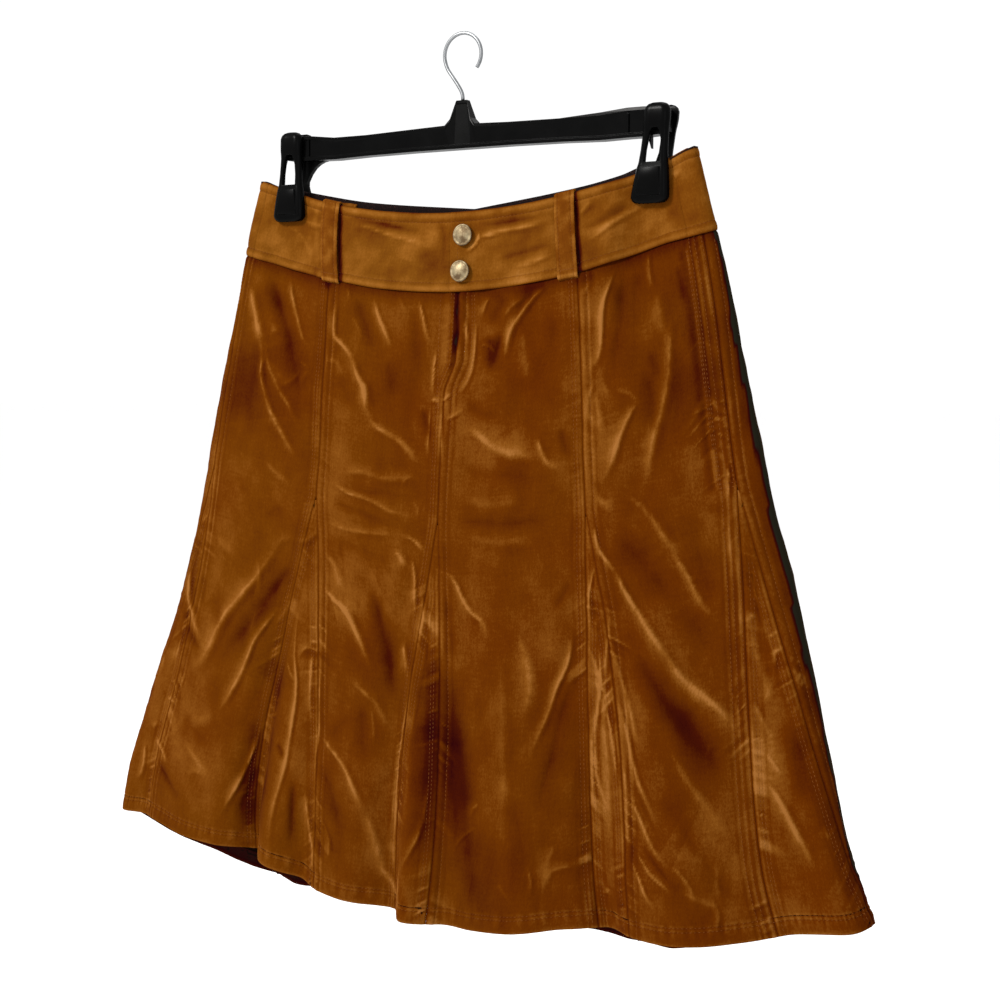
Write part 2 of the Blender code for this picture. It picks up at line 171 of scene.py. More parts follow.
def readTable(table, at):
    keys, values, slopes = table
    at = np.clip(at, keys[0], keys[-1])
    low = np.clip(np.searchsorted(keys, at, side="left") - 1, 0, len(keys) - 2)
    span = (keys[low + 1] - keys[low])[:, None]
    part = ((at - keys[low])[:, None]) / span
    start = (2 * part ** 3 - 3 * part ** 2 + 1) * values[low]
    end = (3 * part ** 2 - 2 * part ** 3) * values[low + 1]
    leave = (part ** 3 - 2 * part ** 2 + part) * span * slopes[low]
    arrive = (part ** 3 - part ** 2) * span * slopes[low + 1]
    return start + leave + end + arrive


levelTable = tableColumns(levels)
edgeTable = tableColumns(edges)


def wrapped(angle):
    return (angle + 180.0) % 360.0 - 180.0


def foldHeight(angle, share):
    total = np.zeros_like(angle)
    for fold in folds:
        away = wrapped(angle - fold.angle)
        wide = np.where(away > 0, fold.wideAfter, fold.wideBefore)
        growth = np.clip((share - fold.begins) / (1.0 - fold.begins), 0, None) ** cut["flareGrowth"]
        total += fold.depth * growth * bump(away, 0, wide)
    return total


def flyAngle(share):
    return fly["seam"] + fly["lap"] * smooth((fly["end"] - 0.012 - share) / fly["blend"])


def clothPoint(angle, share, rise=0.0):
    angle, share = np.broadcast_arrays(np.asarray(angle, float), np.asarray(share, float))
    across, along = np.sin(np.radians(angle)), np.cos(np.radians(angle))
    row = readTable(levelTable, share)
    halfWidth = np.where(across > 0, row[:, 1], row[:, 0])
    halfDepth = np.where(along > 0, row[:, 2], row[:, 3])
    x, y = halfWidth * across, -halfDepth * along
    clip = np.where(across > 0, cut["clipRight"], cut["clipLeft"])
    pinch = 1.0 - smooth((share - cut["pinchFrom"]) / cut["pinchFade"])
    held = np.exp(-((x - clip) / cut["clipReach"]) ** 4) * pinch
    y = y + held * (np.where(along > 0, -1, 1) * cut["pinchHalf"] - y)
    normal = np.stack([across / halfWidth, -along / halfDepth], 1)
    normal /= np.linalg.norm(normal, axis=1)[:, None]
    lift = rise + foldHeight(angle, share)
    ends = readTable(edgeTable, wrapped(angle))
    z = ends[:, 0] + (ends[:, 1] - ends[:, 0]) * share
    return np.stack([x + normal[:, 0] * lift, y + normal[:, 1] * lift, z], 1)


def clothNormal(angle, share):
    roundIt = clothPoint(angle + 0.25, share) - clothPoint(angle - 0.25, share)
    down = clothPoint(angle, share + 0.004) - clothPoint(angle, share - 0.004)
    normal = np.cross(down, roundIt)
    return normal / np.linalg.norm(normal, axis=1)[:, None]


def mainLine(seam, share):
    part = (share - cut["bandShare"]) / (cut["godetTop"] - cut["bandShare"])
    angle = seam.band + (seam.apex - seam.band) * (smooth(part) * 0.4 + 0.6 * part)
    if seam.name == "front_centre":
        angle = angle + flyAngle(share) - fly["seam"]
    return angle


def branchLine(seam, side, share):
    share = np.asarray(share, float)
    mid, hem = getattr(seam, side + "Mid"), getattr(seam, side + "Hem")
    part = (share - cut["godetTop"]) / (1.0 - cut["godetTop"])
    atMid = (cut["midShare"] - cut["godetTop"]) / (1.0 - cut["godetTop"])
    curve = (mid - seam.apex - (hem - seam.apex) * atMid) / (atMid * (atMid - 1.0))
    branch = seam.apex + (hem - seam.apex) * part + curve * part * (part - 1.0)
    return np.where(share <= cut["godetTop"], mainLine(seam, share), branch)


# A crease is a soft ridge (+) or trough (-) along a path of (angle, share), with its width and height in
# millimetres; tone is the painted highlight (+) or painted shade (-) laid along it.
Crease = namedtuple("Crease", "path width height tone")

frontCreases = [Crease(*row) for row in (
    # left side gore, upper half
    (((-71, .147), (-66, .162), (-60, .194), (-56, .218), (-53.5, .25)), 9, 1.8, .85),
    (((-56, .215), (-53.5, .25), (-51, .283), (-46.5, .318), (-40, .355), (-33.5, .394)), 5.5, 1.7, .95),
    (((-54, .222), (-50, .252), (-44.5, .285), (-40, .306), (-34.5, .346)), 5, 1.2, .6),
    (((-51, .245), (-46, .262), (-42, .285)), 9, .3, .35),
    (((-59.5, .113), (-54.5, .148), (-50, .176), (-45, .205), (-41.5, .24), (-37, .285), (-33.5, .30)),
     8.5, -2.6, -1.05),
    (((-49.5, .118), (-47, .146), (-43, .176), (-39, .205), (-35.5, .218)), 2.6, 1.3, .9),
    (((-39, .236), (-36.8, .242), (-35, .246)), 2.2, .8, .5),
    (((-66, .27), (-62, .32), (-56, .36)), 26, -.7, -.15),
    (((-46, .395), (-40, .415), (-34, .426)), 7, .6, .35),
    (((-73, .20), (-70, .26), (-69, .33)), 12, .4, .1),
    # left side gore, lower half
    (((-76, .585), (-72, .612), (-69, .643), (-65, .659), (-61, .679), (-56.5, .702)), 5.5, 1.8, 1.0),
    (((-73.5, .60), (-70.5, .628), (-68, .65)), 8, .6, .5),
    (((-70.5, .655), (-64.5, .690), (-58, .710), (-54, .725)), 5, -1.3, -.6),
    (((-37, .505), (-41, .56), (-45.5, .605), (-49.5, .645), (-52, .69), (-55, .73), (-61, .765)),
     8, 1.5, .75),
    (((-34.3, .54), (-38, .60), (-42, .645), (-46, .695), (-50, .73)), 11, -1.8, -.75),
    (((-33.8, .545), (-36.5, .585), (-38, .60)), 5, -.8, -.6),
    (((-34.8, .61), (-37.3, .642), (-39.3, .67), (-40.2, .70), (-41.3, .74), (-43.6, .78), (-45, .80)),
     4.2, 1.5, 1.0),
    (((-44.5, .795), (-48, .812), (-53, .83)), 13, .5, .35),
    (((-34.7, .795), (-35.4, .845), (-36.8, .90), (-38.4, .935), (-39.6, .965)), 3.2, 1.5, .95),
    (((-34.3, .86), (-35.2, .91), (-36.4, .955)), 4, -1.2, -.6),
    (((-36, .73), (-37, .78), (-38, .83)), 10, -.6, -.1),
    (((-66.5, .774), (-63.5, .779), (-60.5, .792)), 3.2, .9, .7),
    (((-66, .800), (-63, .805), (-59, .809)), 2.6, .7, .5),
    (((-65.5, .868), (-62, .880), (-59, .890), (-56.5, .907)), 4.6, 1.2, .85),
    (((-62, .905), (-57, .922), (-52, .938), (-48, .944)), 5, -1.4, -.9),
    (((-70.6, .88), (-68.8, .905), (-68.8, .93), (-71, .946)), 3.4, 1.2, .8),
    (((-58, .62), (-53, .65), (-50, .68)), 15, -.8, -.45),
    (((-62, .53), (-56, .545), (-50, .55)), 9, .5, .25),
    (((-56, .825), (-50, .832), (-44, .85)), 7, -.5, -.3),
    (((-52, .862), (-47, .874), (-42, .905)), 8, .5, .3),
    # godet in the left front seam
    (((-31.8, .66), (-31.5, .73), (-30.7, .80), (-30.4, .88), (-30.8, .95), (-31, 1.0)), 11, 0, -.9),
    (((-31.5, .85), (-30.5, .92), (-31, 1.0)), 9, 0, -.8),
    (((-29.8, .60), (-28.6, .665), (-27.1, .70), (-26.1, .75), (-26, .82), (-26.3, .87), (-26.9, .93),
            (-27.1, .99)), 3.0, 1.1, .85),
    (((-30.3, .688), (-28.8, .700), (-27.2, .712)), 2.6, .9, .5),
    (((-33, .779), (-31.5, .778), (-29.8, .769)), 2.8, .8, .5),
    (((-33, .752), (-31.5, .754), (-30, .748)), 2.2, .6, .35),
    (((-33, .835), (-31, .83), (-29.5, .82)), 3, -.7, -.3),
    (((-28.6, .81), (-27.3, .82), (-26.6, .835)), 3, -.9, -.8),
    (((-24.8, .655), (-23.9, .715), (-23, .765)), 3, 1.0, .85),
    (((-22.8, .64), (-22.2, .70), (-21.3, .775), (-21, .86)), 2.4, .8, .7),
    (((-24.4, .85), (-23.9, .92), (-24, .965)), 4, -1.4, -.85),
    (((-22.4, .86), (-21.3, .91), (-19.6, .95), (-19.3, .985)), 4.6, 1.0, .65),
    (((-19.2, .885), (-17.5, .905), (-16.6, .93), (-17.2, .955)), 3, .9, .6),
    (((-20.6, .895), (-18.6, .93), (-17.8, .96)), 3.6, -.9, -.6),
    # left centre gore, upper half
    (((-30, .135), (-30, .165), (-29.2, .188), (-26, .201), (-23.5, .215), (-21.3, .24)), 4.6, 1.5, .85),
    (((-23.5, .215), (-21.4, .238), (-19, .256), (-18.2, .285), (-16.5, .302)), 6, 1.9, 1.0),
    (((-18.2, .285), (-16.2, .303), (-12.5, .315), (-9, .326), (-6, .345), (-3.4, .351)), 6.5, 1.5, .85),
    (((-20, .24), (-18.5, .262), (-17.5, .285)), 10, .5, .3),
    (((-19.6, .118), (-17.8, .145), (-15.6, .168), (-13.2, .196)), 3.8, 1.2, .75),
    (((-7.4, .118), (-6.1, .145), (-5, .170), (-3.6, .187)), 2.8, 1.1, .75),
    (((-26.9, .114), (-26.4, .124), (-26, .134)), 2.4, .7, .4),
    (((-12.5, .115), (-11.6, .128), (-10.5, .14)), 2.4, .7, .35),
    (((-24.5, .12), (-22.5, .15), (-19.5, .18), (-17, .20)), 8, -1.2, -.55),
    (((-9.5, .125), (-8, .16), (-7, .20), (-6, .25)), 8, -1.0, -.45),
    (((-14.5, .205), (-12.8, .24), (-12, .27)), 8, -.9, -.45),
    (((-5.2, .27), (-3.9, .30), (-3, .325)), 5, -1.3, -.8),
    (((-26.5, .235), (-24, .27), (-21.5, .30)), 9, -.8, -.3),
    (((-23.8, .385), (-18, .376), (-12, .378), (-6, .375), (-3.4, .390)), 6, 1.1, .42),
    (((-24.6, .398), (-19, .403), (-12, .400), (-5, .406)), 4, -.7, -.3),
    (((-26.5, .399), (-22, .408), (-16, .414), (-10, .425), (-3.6, .432)), 4, 1.1, .55),
    (((-26, .428), (-19, .434), (-12, .443), (-4, .45)), 4.6, -.8, -.35),
    (((-26, .462), (-20, .464), (-14, .459), (-8, .455)), 3.6, 1.0, .5),
    (((-8, .456), (-5.6, .462), (-3.2, .477)), 3, 1.0, .9),
    (((-9.5, .478), (-8, .490), (-7.2, .505)), 6.5, .5, .5),
    (((-6.1, .482), (-5.1, .51), (-4.7, .54), (-4.9, .575)), 2.8, 1.4, 1.0),
    (((-25, .48), (-18, .487), (-10, .50)), 6, -.7, -.3),
    # the fly's lower end and the shade under the left loop
    (((-3.4, .2615), (-2.2, .2605), (-.9, .262)), 2.4, .7, 1.1),
    (((-.9, .262), (.4, .257), (1.5, .249)), 2.0, .5, .7),
    (((-35.6, .78), (-35, .86), (-34.8, .93), (-34.8, 1.0)), 9, 0, -1.5),
    (((-27.5, .62), (-26.2, .76), (-26, .88), (-26.2, .98)), 24, 0, .12),
    (((6.2, .145), (6.2, .19), (5.4, .222), (3.7, .243), (1.4, .257)), 2.6, .5, .75),
    (((-2.7, .185), (-2.9, .235), (-3.0, .262)), 2.0, .5, .9),
    (((-3.2, .27), (-3.4, .31), (-3.3, .345)), 2.2, .6, .85),
    (((-.6, .27), (-.4, .31), (-.5, .35)), 2.2, .5, .7),
    (((9.5, .17), (9.8, .195), (9.3, .225)), 6, -.8, -.9),
    (((14, .118), (11, .14), (9, .165)), 9, -.6, -.6),
    (((24, .114), (21, .116), (16, .117)), 7, -.5, -.7),
    (((-62, .20), (-52, .28), (-44, .40)), 60, 0, -.26),
    (((3, .72), (4, .84), (4.6, .96)), 30, 0, -.15),
    (((-.4, .57), (-.7, .70), (-.9, .82), (-1.4, .97)), 14, 0, -.85),
    (((29.5, .60), (29.2, .66), (28.2, .70), (27.6, .74)), 2.4, .8, .8),
    (((29.6, .68), (30.6, .74), (31.2, .80)), 2.4, .8, .8),
    (((26.6, .72), (26.2, .80), (26.5, .88)), 3, .8, .6),
    (((36, .116), (30, .118), (28, .118)), 6, -.4, -.6),
    (((-34.4, .1175), (-33, .1135), (-31.6, .1105)), 4.0, 0, -1.9),
    # left centre gore, lower half
    (((-24.8, .551), (-22, .567), (-18.5, .583), (-16.2, .605), (-14, .63), (-12.3, .655), (-12, .672)),
     5.5, 1.7, 1.0),
    (((-25, .505), (-22, .525), (-19.6, .56)), 6, .9, .5),
    (((-16.5, .675), (-13, .692), (-10.8, .705), (-8.2, .74)), 5, 1.2, .75),
    (((-16.5, .51), (-13.5, .55), (-11.2, .59), (-9.3, .64), (-7.8, .70)), 8.5, -1.7, -.75),
    (((-10, .62), (-8.8, .655), (-8, .69)), 6, -.5, -.4),
    (((-7, .605), (-6, .63), (-5, .66)), 5.5, 1.0, .8),
    (((-4.4, .655), (-5, .70), (-5.9, .75), (-6.5, .80), (-6.7, .87), (-6.9, .93), (-6.4, .985)),
     3, 1.0, 1.0),
    (((-21.5, .773), (-18.5, .785), (-15.5, .803), (-13, .835), (-11, .87)), 4.8, 1.2, .8),
    (((-20.5, .81), (-17.5, .85), (-15, .90), (-13.8, .94)), 8, -1.3, -.6),
    (((-19, .89), (-17.2, .91), (-15.4, .945)), 3.4, -.9, -.6),
    (((-14, .70), (-12.8, .75), (-11.6, .80)), 7, -.8, -.4),
    (((-11.5, .86), (-9.5, .91), (-8.4, .96)), 8, .6, .4),
    (((-9.5, .94), (-7, .962), (-5, .985)), 9, .5, .6),
    # godet in the middle seam
    (((-.5, .79), (-.9, .83), (-1.8, .875), (-3.2, .91), (-4.6, .935)), 2.8, .8, .7),
    (((-3.6, .52), (-3, .57), (-3.8, .62)), 4, .6, .6),
    (((-4.8, .93), (-4.6, .965), (-4.4, 1.0)), 8, .4, .6),
    (((-3.4, .70), (-3.8, .78), (-3.9, .87)), 7, .2, .3),
    # right centre gore, upper half
    (((2.7, .116), (2.75, .14), (2.5, .17), (2.1, .20)), 2.8, -1.6, -1.3),
    (((1.3, .205), (.9, .215), (.7, .222)), 1.8, -.8, -.9),
    (((4, .145), (4.3, .162), (4.7, .182)), 2, 1.0, .7),
    (((9.6, .119), (8.6, .131), (7.4, .146)), 2.8, 1.1, .75),
    (((24, .113), (20, .129), (17, .148), (15, .168), (13.9, .19), (12.6, .216)), 4, 1.7, 1.0),
    (((18, .126), (14.5, .139), (12.2, .156)), 3, .8, .35),
    (((7.5, .184), (9.6, .189), (11.3, .20)), 2.6, 1.0, .6),
    (((12.4, .165), (11.4, .19), (10.4, .215), (10, .235)), 5, -1.7, -.85),
    (((17.5, .17), (17.5, .21), (18.5, .25)), 11, .8, .45),
    (((21.5, .12), (18, .132), (14.5, .16)), 5, -.9, -.55),
    (((24.5, .15), (24, .20), (24.5, .26)), 9, -.6, -.3),
    (((.3, .288), (1.9, .282), (3.9, .271)), 2.8, 1.1, .75),
    (((3.5, .292), (7, .309), (11, .331), (16, .343), (21, .349)), 9, 1.5, .6),
    (((19.5, .318), (20.8, .345), (22.2, .362), (25, .370)), 4.6, 1.1, .7),
    (((4, .262), (8, .282), (13, .288)), 7, -1.0, -.45),
    (((2.5, .345), (8, .365), (15, .372), (21, .385)), 7, -.9, -.35),
    (((25, .31), (25.4, .335), (26.2, .36)), 4, -1.0, -.6),
    (((2, .425), (9, .434), (17, .438), (25.5, .434)), 7, -1.0, -.5),
    (((3, .40), (10, .409), (18, .405)), 8, .6, .25),
    (((5, .456), (12, .462), (20, .466)), 8, .6, .25),
    # right centre gore, lower half
    (((1, .498), (3.4, .517), (5, .54), (6.4, .558), (8.6, .573), (9.8, .60)), 3.8, 1.5, .9),
    (((1.5, .53), (2, .58), (2.8, .63)), 5, -.9, -.5),
    (((2.2, .62), (3, .70), (4.4, .78), (5.6, .86), (6.8, .94), (7.4, 1.0)), 15, -2.0, -1.0),
    (((1.8, .68), (2.6, .76), (3.4, .84), (4.2, .93)), 7, -.8, -.6),
    (((24.4, .59), (23.3, .635), (21.4, .67), (19.8, .70), (18, .732), (16.2, .772)), 3.6, 1.5, .9),
    (((24.8, .65), (22.6, .69), (21, .73), (19, .79), (17.4, .85)), 6.5, -1.2, -.6),
    (((25, .52), (23, .545), (21.2, .57)), 5, -.9, -.5),
    (((14.5, .585), (16.6, .63), (16.6, .68), (14.5, .73)), 11, 1.0, .45),
    (((12, .62), (12.5, .72), (12.5, .82), (12, .92)), 10, .5, .3),
    (((13.5, .80), (15, .87), (16.4, .94)), 8, -.6, -.3),
    (((11.4, .93), (12.6, .945), (13.6, .96)), 3, .7, .5),
    (((15.8, .905), (16.4, .93), (16.2, .955)), 2, .6, .4),
    (((8, .66), (9, .72), (10.4, .80)), 9, -.4, -.25),
    (((4, .93), (12, .95), (22, .955)), 55, 0, -.36),
    (((-22, .60), (-14, .56), (-8, .52)), 60, 0, .28),
    (((6, .70), (12, .74), (20, .76)), 60, 0, -.05),
    (((38, .86), (46, .90), (52, .92)), 55, 0, .26),
    (((28, .66), (28.4, .78), (28.4, .90)), 22, 0, .08),
    (((-62, .70), (-58, .80), (-52, .90)), 70, 0, .16),
    # godet in the right front seam
    (((30, .50), (28.6, .535), (28, .565), (27.6, .60)), 2.6, .8, .65),
    (((28.8, .685), (27.4, .725), (27, .775), (27.8, .81), (29, .842)), 3.8, 1.1, .9),
    (((27.2, .605), (28.6, .64), (29.6, .672)), 3, .9, .65),
    (((31.4, .595), (30.6, .625), (30.2, .66)), 3, .8, .55),
    (((28, .655), (29, .668), (30.5, .672)), 2.4, .7, .5),
    (((29.2, .56), (29.4, .70), (28.8, .86), (28, .97)), 8, .2, .35),
    (((25.2, .93), (26.6, .945), (28, .955)), 4, .5, .4),
    # right side gore, upper half
    (((40.5, .109), (38.8, .129), (37, .150), (36, .172), (35.5, .198), (34.5, .222), (32.6, .238),
      (31.3, .252)), 3.2, 1.5, 1.0),
    (((43, .115), (41, .15), (40, .19), (38.5, .23), (37, .26)), 8.5, -1.7, -.75),
    (((34.5, .12), (33, .128), (32, .14)), 2.2, .6, .35),
    (((49.6, .100), (49.2, .13), (49.9, .152)), 3, 1.2, .75),
    (((50.5, .155), (51.5, .19), (52.5, .23)), 10, .9, .4),
    (((46.5, .115), (45, .15), (44, .20)), 6, -.7, -.35),
    (((32.6, .256), (31.4, .28), (31.3, .30), (32.8, .308)), 3.4, .9, .7),
    (((33, .265), (33.5, .30), (33.4, .335)), 6, .4, .35),
    (((43.8, .292), (41.6, .30), (39.2, .318), (37.4, .34), (36, .362), (33.5, .385), (31.6, .395)),
     4.4, 1.4, .8),
    (((37.5, .27), (41, .278), (43.6, .295)), 5, .7, .45),
    (((31.2, .405), (32.6, .418), (35, .43)), 7, .6, .5),
    (((45.6, .245), (46.6, .29), (45.8, .325), (43.6, .35)), 8, -1.0, -.4),
    (((55.5, .19), (53.4, .235), (51.2, .275), (48.8, .312), (45.8, .345), (43, .385), (41, .42)),
     6.2, 1.3, .7),
    (((61, .13), (63, .26), (65, .40)), 30, 0, -.42),
    (((42, .44), (47, .60), (50, .78)), 60, 0, .15),
    (((62, .72), (66, .84), (70, .93)), 26, 0, .28),
    (((-62, .84), (-54, .87), (-46, .89)), 40, 0, .2),
    (((8, .20), (13, .30), (20, .38)), 55, 0, .16),
    (((36, .28), (40, .35), (44, .42)), 40, 0, .16),
    (((57.5, .23), (55, .28), (52, .33), (49, .37)), 12, -1.2, -.5),
    (((59.2, .128), (59.5, .155), (59.8, .19)), 2.6, -1.1, -.9),
    (((36, .41), (40, .425), (43.6, .452), (46, .482), (49.5, .51)), 7, .9, .5),
    # right side gore, lower half, with the long crease
    (((30.4, .448), (31, .478), (32.6, .497), (34.4, .515)), 3.4, 1.3, 1.0),
    (((33.2, .502), (35, .528), (37.2, .56), (39.6, .592), (42, .622), (45, .655)), 4.6, 2.2, 1.2),
    (((42, .622), (45.5, .66), (49, .685), (52.6, .712), (56, .742)), 7, 1.9, .9),
    (((42, .635), (46, .672), (50, .70)), 10, .5, .4),
    (((33, .455), (37.5, .485), (42, .525), (46.5, .57), (51, .615), (54.5, .65)), 12, -1.6, -.5),
    (((34, .575), (37, .625), (40.5, .675), (45, .725), (50, .785), (53.5, .84)), 12, -2.2, -.95),
    (((37, .62), (42, .70), (48, .78)), 9, -.4, -.4),
    (((45.5, .485), (48.6, .52), (50.8, .555), (53, .582), (55.5, .597)), 5.5, 1.2, .55),
    (((52, .49), (53.5, .54), (55.5, .57)), 7, -.5, -.3),
    (((32, .60), (33.2, .65), (34.6, .70), (35.4, .735), (37, .75)), 3.2, 1.2, .6),
    (((31.8, .57), (31.6, .60), (32.6, .64)), 2.4, .8, .5),
    (((32.4, .675), (33.6, .73), (35, .785), (36.4, .82), (38, .852)), 3, 1.4, .85),
    (((33, .80), (35, .845), (37.5, .885), (39.8, .905)), 3, 1.3, .85),
    (((39.2, .895), (41.2, .915), (42.2, .935), (42, .955)), 3, 1.0, .65),
    (((33, .875), (35.4, .905), (37.6, .922), (39.2, .938)), 2.6, 1.1, .9),
    (((32.4, .895), (33.8, .92), (34.8, .945), (35.8, .958)), 2.6, 1.0, .8),
    (((32.6, .76), (32.6, .80), (32.3, .86), (32.4, .90)), 2.4, .8, .7),
    (((33.8, .78), (35.8, .83), (38.5, .875)), 2.4, -.8, -.5),
    (((34.4, .87), (37, .90), (40, .93)), 2.6, -.9, -.55),
    (((40.5, .74), (44, .79), (47.4, .835), (50.4, .878)), 9, .9, .4),
    (((44, .87), (47, .92), (50, .955)), 9, -.6, -.3),
    (((39, .80), (42, .85), (45, .90)), 6, -.5, -.3),
    # godet at the right side
    (((59.6, .797), (62, .82), (64.2, .848), (66.2, .877), (68.2, .902), (69.4, .928)), 5, 1.3, .8),
    (((61, .768), (62.8, .783), (64.8, .802)), 2.2, .7, .55),
    (((60.2, .70), (62, .735), (64.4, .755)), 4, .7, .4),
    (((69, .72), (70.5, .78), (72, .85)), 9, -.7, -.35),
    (((63, .60), (64, .66), (66, .72)), 8, .5, .3),
    # under the pocket
    (((66.6, .395), (65.8, .42), (64.6, .44), (63.6, .455)), 2.6, 1.0, .8),
    (((67.2, .398), (66.6, .42), (66.2, .44)), 2.6, -1.3, -1.0),
    (((67.6, .425), (68.8, .443), (69.8, .456)), 2.4, .8, .55),
    (((62.2, .372), (62.1, .395), (61.8, .42)), 2.4, .7, .4),
    (((62.8, .47), (61.6, .50), (61, .53)), 3, .7, .45),
    (((65, .478), (62.6, .515), (61.8, .56)), 3, .6, .4),
)]

bandCreases = [Crease(*row) for row in (
    (((-49, .033), (-44, .036), (-39, .033), (-36, .022)), 3, .9, .6),
    (((-56, .050), (-50, .053), (-45, .066), (-41, .085)), 4, .7, .35),
    (((-47, .010), (-43, .014), (-39, .012)), 5, .4, .4),
    (((-31, .011), (-24, .015), (-17, .018), (-10, .024), (-4, .030)), 2.6, -1.0, -.85),
    (((-29, .021), (-21, .026), (-14, .033), (-7, .042), (-2, .052)), 2.8, .9, .6),
    (((-4, .010), (-2, .022), (-1.5, .045), (-1.8, .075)), 4, -.6, -.5),
    (((-14, .060), (-9, .066), (-5, .078)), 6, .5, .3),
    (((6, .0175), (13, .019), (20, .020), (26, .0215)), 2.2, -.8, -.6),
    (((6.4, .043), (8, .035), (13, .032), (19, .030), (26.5, .0265)), 2.8, 1.1, .95),
    (((12.5, .068), (17, .065), (21, .062), (26.5, .059)), 2.6, -1.0, -.9),
    (((15, .083), (20, .080), (24, .075), (27, .070)), 2.8, .9, .6),
    (((7.5, .026), (7.2, .040), (5.4, .049), (3.5, .054)), 1.8, .9, 1.0),
    (((33, .050), (38, .045), (43, .040), (49, .033)), 3.4, -1.0, -.65),
    (((34.5, .067), (39, .057), (44, .047), (49.5, .040), (54, .038)), 3.2, 1.1, .75),
    (((33.4, .030), (35.4, .022), (38, .016)), 3.6, .8, .6),
    (((39, .036), (43, .028), (47, .022)), 5, .5, .3),
    (((63, .018), (68, .023), (74, .029)), 2.4, .7, .5),
    (((58, .060), (66, .072), (74, .085)), 5, -.5, -.35),
)]


# The back carries creases like the front's, shifted and resized so that none is an exact copy.
def mirroredCreases():
    pick = np.random.default_rng(41)
    kept = []
    for crease in frontCreases:
        turn, drop, size = pick.uniform(-2.2, 2.2), pick.uniform(-0.018, 0.018), pick.uniform(0.75, 1.15)
        path = tuple((180.0 - angle + turn, min(1.0, max(0.112, share + drop)))
                     for angle, share in crease.path)
        if pick.uniform() < 0.82 and (crease.height or crease.width > 12):
            kept.append(Crease(path, crease.width * size, crease.height * size, crease.tone * size))
    return kept


# Short faint creases strewn over part of the skirt.
def faintCreases(seed, count, first, last):
    pick = np.random.default_rng(seed)
    kept = []
    for index in range(count):
        angle, share = pick.uniform(first, last), pick.uniform(0.125, 0.965)
        size, lean, bend = pick.uniform(0.012, 0.04), pick.uniform(-1.35, 1.35), pick.uniform(-0.5, 0.5)
        path = []
        for part in (-1.0, 0.0, 1.0):
            turn = lean + bend * part
            path.append((angle + sin(turn) * size * part * 110, share + cos(turn) * size * part))
        way = 1 if pick.uniform() < 0.62 else -1
        kept.append(Crease(tuple(path), pick.uniform(1.8, 6.0), way * pick.uniform(0.2, 0.6),
                           way * pick.uniform(0.18, 0.42)))
    return kept


creaseForm = {
    "half": 0.62,              # a crease's half width in widths
    "ridgeReach": 4.4,         # how far its light or shade spreads, in half widths
    "troughReach": 3.6,
    "wander": 0.65,            # millimetres by which its line strays
    "grows": 0.26,             # share of its length over which it grows
    "fades": 0.42,             # and over which it dies away
    "crest": 0.45,             # widths of its sharp and its broad part, in half widths
    "body": 1.05,
    "crestShare": 0.34,
    "bodyShare": 0.66,
    "litFrom": np.array([-0.8, 0, 0.6]),      # the side from which a ridge looks lit
    # glow and halo: painted highlight beside a ridge; shadow: painted shadow on its far side; troughCrest
    # and troughShade: painted shade in a trough
    "glow": 0.48,
    "halo": 0.30,
    "shadow": 0.46,
    "troughCrest": 0.22,
    "troughShade": 0.70,
}


def creaseLine(path, spacing):
    spots = np.array(path, float)
    spots = np.vstack([2 * spots[0] - spots[1], spots, 2 * spots[-1] - spots[-2]])
    part = np.linspace(0, 1, 9)[:-1, None]
    runs = []
    for p0, p1, p2, p3 in zip(spots, spots[1:], spots[2:], spots[3:]):
        bent = (2 * p0 - 5 * p1 + 4 * p2 - p3) * part ** 2 + (3 * p1 - p0 - 3 * p2 + p3) * part ** 3
        runs.append(0.5 * (2 * p1 + (p2 - p0) * part + bent))
    course = np.vstack(runs + [spots[-2:-1]])
    placed = clothPoint(course[:, 0], course[:, 1])
    run = np.concatenate([[0], np.cumsum(np.linalg.norm(np.diff(placed, axis=0), axis=1))])
    steps = np.linspace(0, run[-1], max(4, int(run[-1] / spacing)))
    return np.stack([np.interp(steps, run, placed[:, axis]) for axis in range(3)], 1), steps
